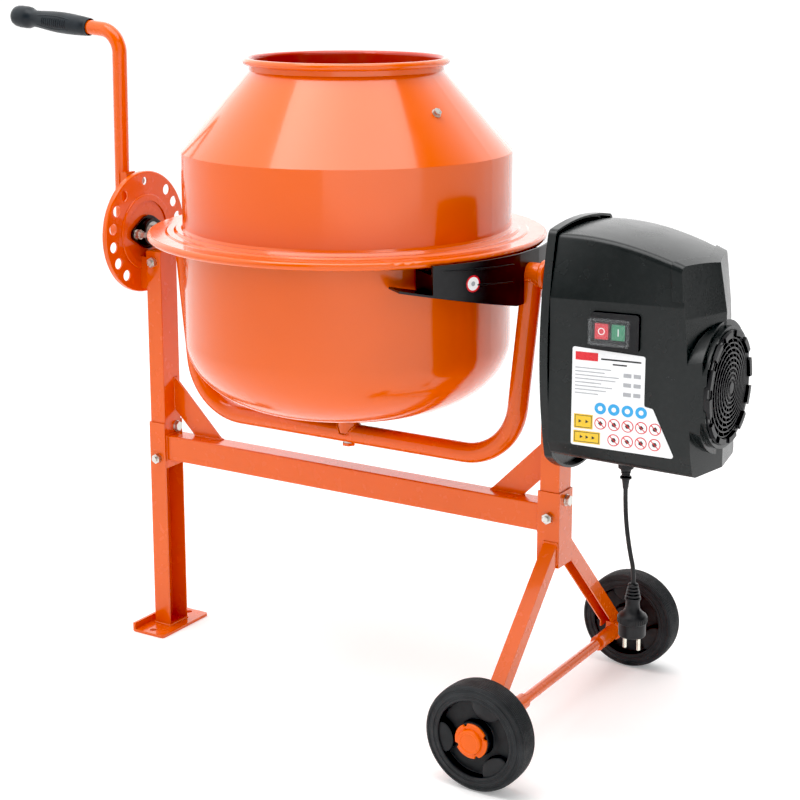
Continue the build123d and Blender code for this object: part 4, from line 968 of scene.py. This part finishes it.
def grip_mesh(bm):
    """Swelling grip with an open collar and an end knob. Two framed panels hold cross ribs."""
    along = (GRIP_END - GRIP_START).normalized()
    near = Vector((0, -1, 0))
    place = turned_frame(near, along.cross(near), GRIP_START)
    lathe(bm, [(radius * MM, reach * MM) for radius, reach in GRIP_PROFILE], 64, place)

    def on_grip(reach, turn, lift=0.0):
        radius = (grip_radius(reach) + lift) * MM
        return place @ Vector((radius * math.cos(turn), radius * math.sin(turn), reach * MM))

    for side in (0.0, math.pi):
        for rib in range(GRIP_RIBS):
            reach = 38.0 + 4.1 * rib
            turns = [side + math.radians(-26 + 6.5 * step) for step in range(9)]
            points = [on_grip(reach, turn, 0.1) for turn in turns]
            tube(bm, points, [0.0004] + [0.0008] * 7 + [0.0004])
        for edge in (-1, 1):
            points = []
            for step in range(25):
                reach = 28.0 + 68.0 * step / 24
                bow = 30.0 + 9.0 * math.sin(math.pi * step / 24)
                points.append(on_grip(reach, side + edge * math.radians(bow)))
            tube(bm, points, [0.0003] + [0.0008] * 23 + [0.0003])


add_piece(
    "ribbed_grip", mesh_from(grip_mesh), "bail", grip_look, 40.0, ("crank_grip",)
)


# ------------------------------------ vent grille
GRILLE_BASE = 0.5752
GRILLE_RINGS = 9
GRILLE_VANES = 20
GRILLE_LUGS = 12
DOME_R = 0.064
LUG_R = 0.0681
VANE_START = 0.006
VANE_END = 0.0655
VANE_SWEEP = 0.9


def grille_dome(point):
    """How far the grille's rings stand out at a distance from its middle, in metres."""
    return 0.0042 + 0.0040 * (1.0 - (point.length / DOME_R) ** 2)


def grille_mesh(bm):
    """Lugged rim, concentric rings over swept vanes, and a small middle disc."""
    place = turned_frame(Vector((0, 1, 0)), Vector((0, 0, 1)), Vector((GRILLE_BASE, 0.0, MOTOR_Z)))
    rim = [
        (0.0648, 0.0), (0.0648, 0.0030), (0.0655, 0.0040), (0.0668, 0.0044), (0.0708, 0.0044),
        (0.0718, 0.0036), (0.0719, 0.0),
    ]
    lathe(bm, rim, 144, closed=True)
    for lug in range(GRILLE_LUGS):
        middle = 2 * math.pi * (lug + 0.35) / GRILLE_LUGS
        arc = [middle + math.radians(-10 + 2.5 * step) for step in range(9)]
        points = [Vector((LUG_R * math.cos(turn), LUG_R * math.sin(turn), 0)) for turn in arc]
        ribbon(bm, points, 0.0072, 0.0030, 0.0078)
    for index in range(GRILLE_RINGS):
        radius = 0.0622 - 0.0062 * index
        crest = grille_dome(Vector((radius, 0, 0)))
        inner = radius - 0.0013
        outer = radius + 0.0013
        section = [
            (inner, crest - 0.0030), (inner, crest - 0.0005), (radius - 0.0007, crest),
            (radius + 0.0007, crest), (outer, crest - 0.0005), (outer, crest - 0.0030),
        ]
        lathe(bm, section, closed=True)
    middle_disc = [
        (0.0, 0.0050), (0.0078, 0.0050), (0.0080, 0.0074), (0.0070, 0.0082), (0.0, 0.0084),
    ]
    lathe(bm, middle_disc, 48)
    for start in around(GRILLE_VANES):
        points = []
        for step in range(15):
            radius = VANE_START + (VANE_END - VANE_START) * step / 14
            turn = start + VANE_SWEEP * (radius / VANE_END) ** 1.5
            points.append(Vector((radius * math.cos(turn), radius * math.sin(turn), 0)))
        ribbon(
            bm,
            points,
            0.0019,
            lambda point: max(grille_dome(point) - 0.0044, 0.0002),
            lambda point: grille_dome(point) - 0.0012,
        )
    bmesh.ops.transform(bm, matrix=place, verts=bm.verts)


add_piece(
    "domed_grille", mesh_from(grille_mesh), "frame", bezel_look, 30.0,
    ("vent_grille",),
)


# ------------------------------------ wheels and hub caps
WHEEL_R = 0.0700
TREAD_HALF_WIDTH = 0.0140
TREAD_RIBS = 9
WHEEL_LOBES = 3
LOBE_CENTRE_R = 0.052
LOBE_R = 0.022
DISH_R = 0.0490
LOBE_BACK_R = 0.0502  # where a lobe goes into the dish wall
LOBE_LEVELS = ((0.0, 0.0060), (0.0, 0.0142), (0.0006, 0.0151), (0.0016, 0.0155))
LOBE_START = 70.0
REAR_LOBE_TURN = 0.3
RIB_SECTION = (
    (0.0010, 0.0), (0.0002, 0.15), (0.0, 0.30), (0.0, 0.62), (0.0002, 0.75), (0.0010, 0.88),
)


def tread_profile():
    """Fine ribs round the tread, from the inner to the outer shoulder, in metres."""
    points = []
    pitch = 2 * TREAD_HALF_WIDTH / TREAD_RIBS
    for rib in range(TREAD_RIBS):
        low = -TREAD_HALF_WIDTH + pitch * rib
        crown = WHEEL_R - 0.0009 * ((rib - (TREAD_RIBS - 1) / 2) / (TREAD_RIBS / 2)) ** 2
        for depth, share in RIB_SECTION:
            points.append((crown - depth, low + pitch * share))
    return points


SIDEWALL = [
    (68.6, 15.4), (67.6, 16.6), (66.0, 17.2), (64.6, 17.2), (64.1, 16.5), (61.4, 16.8), (60.8, 17.8),
    (57.0, 18.4), (56.4, 17.7), (53.8, 17.8), (53.2, 18.5), (51.0, 18.5), (50.0, 17.6), (49.2, 14.0),
    (48.4, 8.4), (47.2, 7.4), (30.0, 7.0), (24.6, 7.2), (23.6, 8.2), (23.0, 14.0), (22.4, 18.8),
    (21.0, 20.0), (7.2, 20.2),
]
CAP_PROFILE = [
    (0.0, 0.0205), (0.0212, 0.0205), (0.0224, 0.0212), (0.0226, 0.0232), (0.0218, 0.0243),
    (0.0192, 0.0247), (0.0170, 0.0250), (0.0163, 0.0246), (0.0160, 0.0275), (0.0152, 0.0288),
    (0.0135, 0.0294), (0.0122, 0.0292), (0.0117, 0.0286), (0.0060, 0.0289), (0.0, 0.0290),
]
CAP_RIM_R = 0.0190
NOTCH_DEPTH = 0.0032
NOTCH_START = 0.4
NOTCH_HALF = 0.13


def lobe(bm, place, turn, side):
    """A rounded pad that reaches from the dish wall inwards, on one side of the wheel."""
    cosine = (DISH_R**2 + LOBE_CENTRE_R**2 - LOBE_R**2) / (2 * DISH_R * LOBE_CENTRE_R)
    spread = math.acos(cosine)
    corner = Vector((DISH_R * math.cos(spread) - LOBE_CENTRE_R, DISH_R * math.sin(spread)))
    swing = math.atan2(corner.y, corner.x)
    outline = []
    for step in range(25):
        angle = swing + (2 * math.pi - 2 * swing) * step / 24
        outline.append((LOBE_CENTRE_R + LOBE_R * math.cos(angle), LOBE_R * math.sin(angle)))
    for step in range(1, 8):
        angle = -spread + 2 * spread * step / 8
        outline.append((LOBE_BACK_R * math.cos(angle), LOBE_BACK_R * math.sin(angle)))
    spin = Matrix.Rotation(turn, 4, "Z")
    rings = []
    for inset, level in LOBE_LEVELS:
        centre = Vector((LOBE_CENTRE_R, 0, side * level))
        ring = []
        for x, y in outline:
            point = Vector((x - LOBE_CENTRE_R, y, 0))
            point = point * (1 - inset / max(point.length, 0.001)) + centre
            ring.append(bm.verts.new(place @ spin @ point))
        rings.append(ring)
    for low, high in zip(rings, rings[1:]):
        join_rings(bm, low, high)
    bm.faces.new(rings[0])
    bm.faces.new(rings[-1])


def make_wheel(name, side):
    """A solid rubber wheel and its cap. side is -1 for the front and 1 for the rear."""
    centre = Vector((AXLE.x, side * abs(AXLE.y), AXLE.z))
    place = turned_frame(Vector((-side, 0, 0)), Vector((0, 0, 1)), centre)

    def tyre(bm):
        inner = [(radius * MM, -width * MM) for radius, width in reversed(SIDEWALL)]
        outer = [(radius * MM, width * MM) for radius, width in SIDEWALL]
        inner[0:3] = [(0.0072, -0.0184), (0.0190, -0.0184), (0.0205, -0.0176)]
        lathe(bm, inner + tread_profile() + outer, 120, place, closed=True)
        for index in range(WHEEL_LOBES):
            turn = math.radians(LOBE_START + 360 / WHEEL_LOBES * index)
            lobe(bm, place, turn, 1)
            lobe(bm, place, turn + REAR_LOBE_TURN, -1)

    def notched(radius, turn):
        if radius < CAP_RIM_R:
            return radius
        gap = abs((turn - NOTCH_START + math.pi / 4) % (math.pi / 2) - math.pi / 4)
        return radius - NOTCH_DEPTH * max(0.0, 1.0 - (gap / NOTCH_HALF) ** 4)

    def cap(bm):
        lathe(bm, CAP_PROFILE, 128, place, pull=notched)

    body = f"wheel_{name}"
    add_piece(f"{name}_tyre", mesh_from(tyre), body, wheel_look, replaced=(body,))
    add_piece(
        f"{name}_hub_cap", mesh_from(cap), body, cap_look,
        replaced=(f"hub_cap_{name}",),
    )


make_wheel("front", -1)
make_wheel("rear", 1)


# ------------------------------------ guard ribs and round mark
GUARD_WALL_R = 0.2840
RIB_RUNS = ((-33.0, -8.0, 0.6335, 0.6290), (-22.0, -8.0, 0.6115, 0.6060))
RIB_SINK = 0.0002
MARK_TURN = -23.2
MARK_Z = 0.6135
MARK_LEVELS = (0.0001, 0.0003)
MARKS = (
    ("ring", 0.0108, 0.0086, ink_red),
    ("field", 0.0087, 0.0030, ink_white),
    ("dot", 0.0031, 0.0001, ink_grey),
)


def on_guard(turn, z, lift):
    """A point on the guard's curved outer wall. turn is in degrees about the drum's axis."""
    angle = math.radians(turn)
    reach = GUARD_WALL_R + lift
    return Vector((DRUM_X + reach * math.cos(angle), reach * math.sin(angle), z))


def guard_ribs(bm):
    """Long moulded ribs on the curved wall."""
    for start, end, left_z, right_z in RIB_RUNS:
        points = []
        for step in range(31):
            share = step / 30
            z = left_z + (right_z - left_z) * share
            points.append(on_guard(start + (end - start) * share, z, -RIB_SINK))
        tube(bm, points, [0.0004] + [0.0013] * 29 + [0.0004])


def guard_disc(bm, radius, inner):
    """A thin disc or ring on the guard wall."""
    rings = []
    for reach in (radius, inner):
        for height in MARK_LEVELS:
            ring = []
            for turn in around(40):
                swing = MARK_TURN + math.degrees(reach * math.cos(turn) / GUARD_WALL_R)
                z = MARK_Z + reach * math.sin(turn)
                ring.append(bm.verts.new(on_guard(swing, z, height)))
            rings.append(ring)
    outer_low, outer_high, inner_low, inner_high = rings
    join_rings(bm, outer_low, outer_high)
    join_rings(bm, outer_high, inner_high)
    join_rings(bm, inner_high, inner_low)
    join_rings(bm, inner_low, outer_low)


add_piece("guard_ribs", mesh_from(guard_ribs), "bail", guard_look, 60.0)
for mark, mark_r, mark_hole, ink in MARKS:
    mesh = mesh_from(lambda bm: guard_disc(bm, mark_r, mark_hole))
    add_piece(f"guard_mark_{mark}", mesh, "bail", ink)

# ------------------------------------ floor and light
FLOOR_SIZE = 80.0
FLOOR_DROP = 0.0005
AIM = Vector((0.05, 0.0, 0.55))
BACK_LEVEL = 1.6
FRONT_LEVEL = 0.08
DIM_TURN = math.radians(32)  # the middle of the dim side, to the right of the camera
DIM_SPREAD = (-0.10, 0.25)  # dot with that side: full level below, front level above
BLACK_LEVEL = 0.016


def make_floor():
    """A wide pale floor just under the wheels."""
    bm = bmesh.new()
    bmesh.ops.create_grid(bm, x_segments=4, y_segments=4, size=FLOOR_SIZE / 2)
    mesh = bpy.data.meshes.new("studio_floor")
    bm.to_mesh(mesh)
    bm.free()
    mesh.materials.append(floor_material())
    floor = bpy.data.objects.new("studio_floor", mesh)
    floor.location = (0, 0, -FLOOR_DROP)
    bpy.context.collection.objects.link(floor)


def softbox(name, turn, height, distance, size, energy):
    """An area light aimed at the drum. turn is degrees to the right of the camera's side."""
    angle = CAMERA_TURN + math.radians(turn)
    place = Vector((math.sin(angle) * distance, -math.cos(angle) * distance, height))
    data = bpy.data.lights.new(name, "AREA")
    data.shape = "RECTANGLE"
    data.size, data.size_y = size
    data.energy = energy
    light = bpy.data.objects.new(name, data)
    light.location = place
    light.rotation_euler = (AIM - place).to_track_quat("-Z", "Y").to_euler()
    bpy.context.collection.objects.link(light)


def make_world():
    """A white surround that lights the object from behind and hardly at all from front right.

    The camera itself sees it as white all round.
    """
    world = bpy.data.worlds.new("studio")
    bpy.context.scene.world = world
    world.use_nodes = True
    tree = world.node_tree
    background = tree.nodes["Background"]
    coords = tree.nodes.new("ShaderNodeTexCoord")
    dot = tree.nodes.new("ShaderNodeVectorMath")
    dot.operation = "DOT_PRODUCT"
    dim_side = CAMERA_TURN + DIM_TURN
    dot.inputs[1].default_value = (math.sin(dim_side), -math.cos(dim_side), 0.0)
    level = tree.nodes.new("ShaderNodeMapRange")
    for name, value in zip(
        ("From Min", "From Max", "To Min", "To Max"), (*DIM_SPREAD, BACK_LEVEL, FRONT_LEVEL)
    ):
        level.inputs[name].default_value = value
    tree.links.new(coords.outputs["Generated"], dot.inputs[0])
    tree.links.new(dot.outputs["Value"], level.inputs["Value"])
    seen = tree.nodes.new("ShaderNodeLightPath")
    shown = tree.nodes.new("ShaderNodeMath")
    shown.operation = "MAXIMUM"
    tree.links.new(level.outputs["Result"], shown.inputs[0])
    tree.links.new(seen.outputs["Is Camera Ray"], shown.inputs[1])
    tree.links.new(shown.outputs["Value"], background.inputs["Strength"])
    background.inputs["Color"].default_value = (1.0, 1.0, 1.0, 1.0)


make_floor()
make_world()
softbox("window_box", 19, 1.35, 3.1, (4.4, 2.5), 36)
softbox("top_box", -5, 2.8, 0.5, (2.6, 1.6), 50)
view_settings = bpy.context.scene.view_settings
view_settings.view_transform = "Standard"
view_settings.use_curve_mapping = True
view_settings.curve_mapping.black_level = (BLACK_LEVEL,) * 3
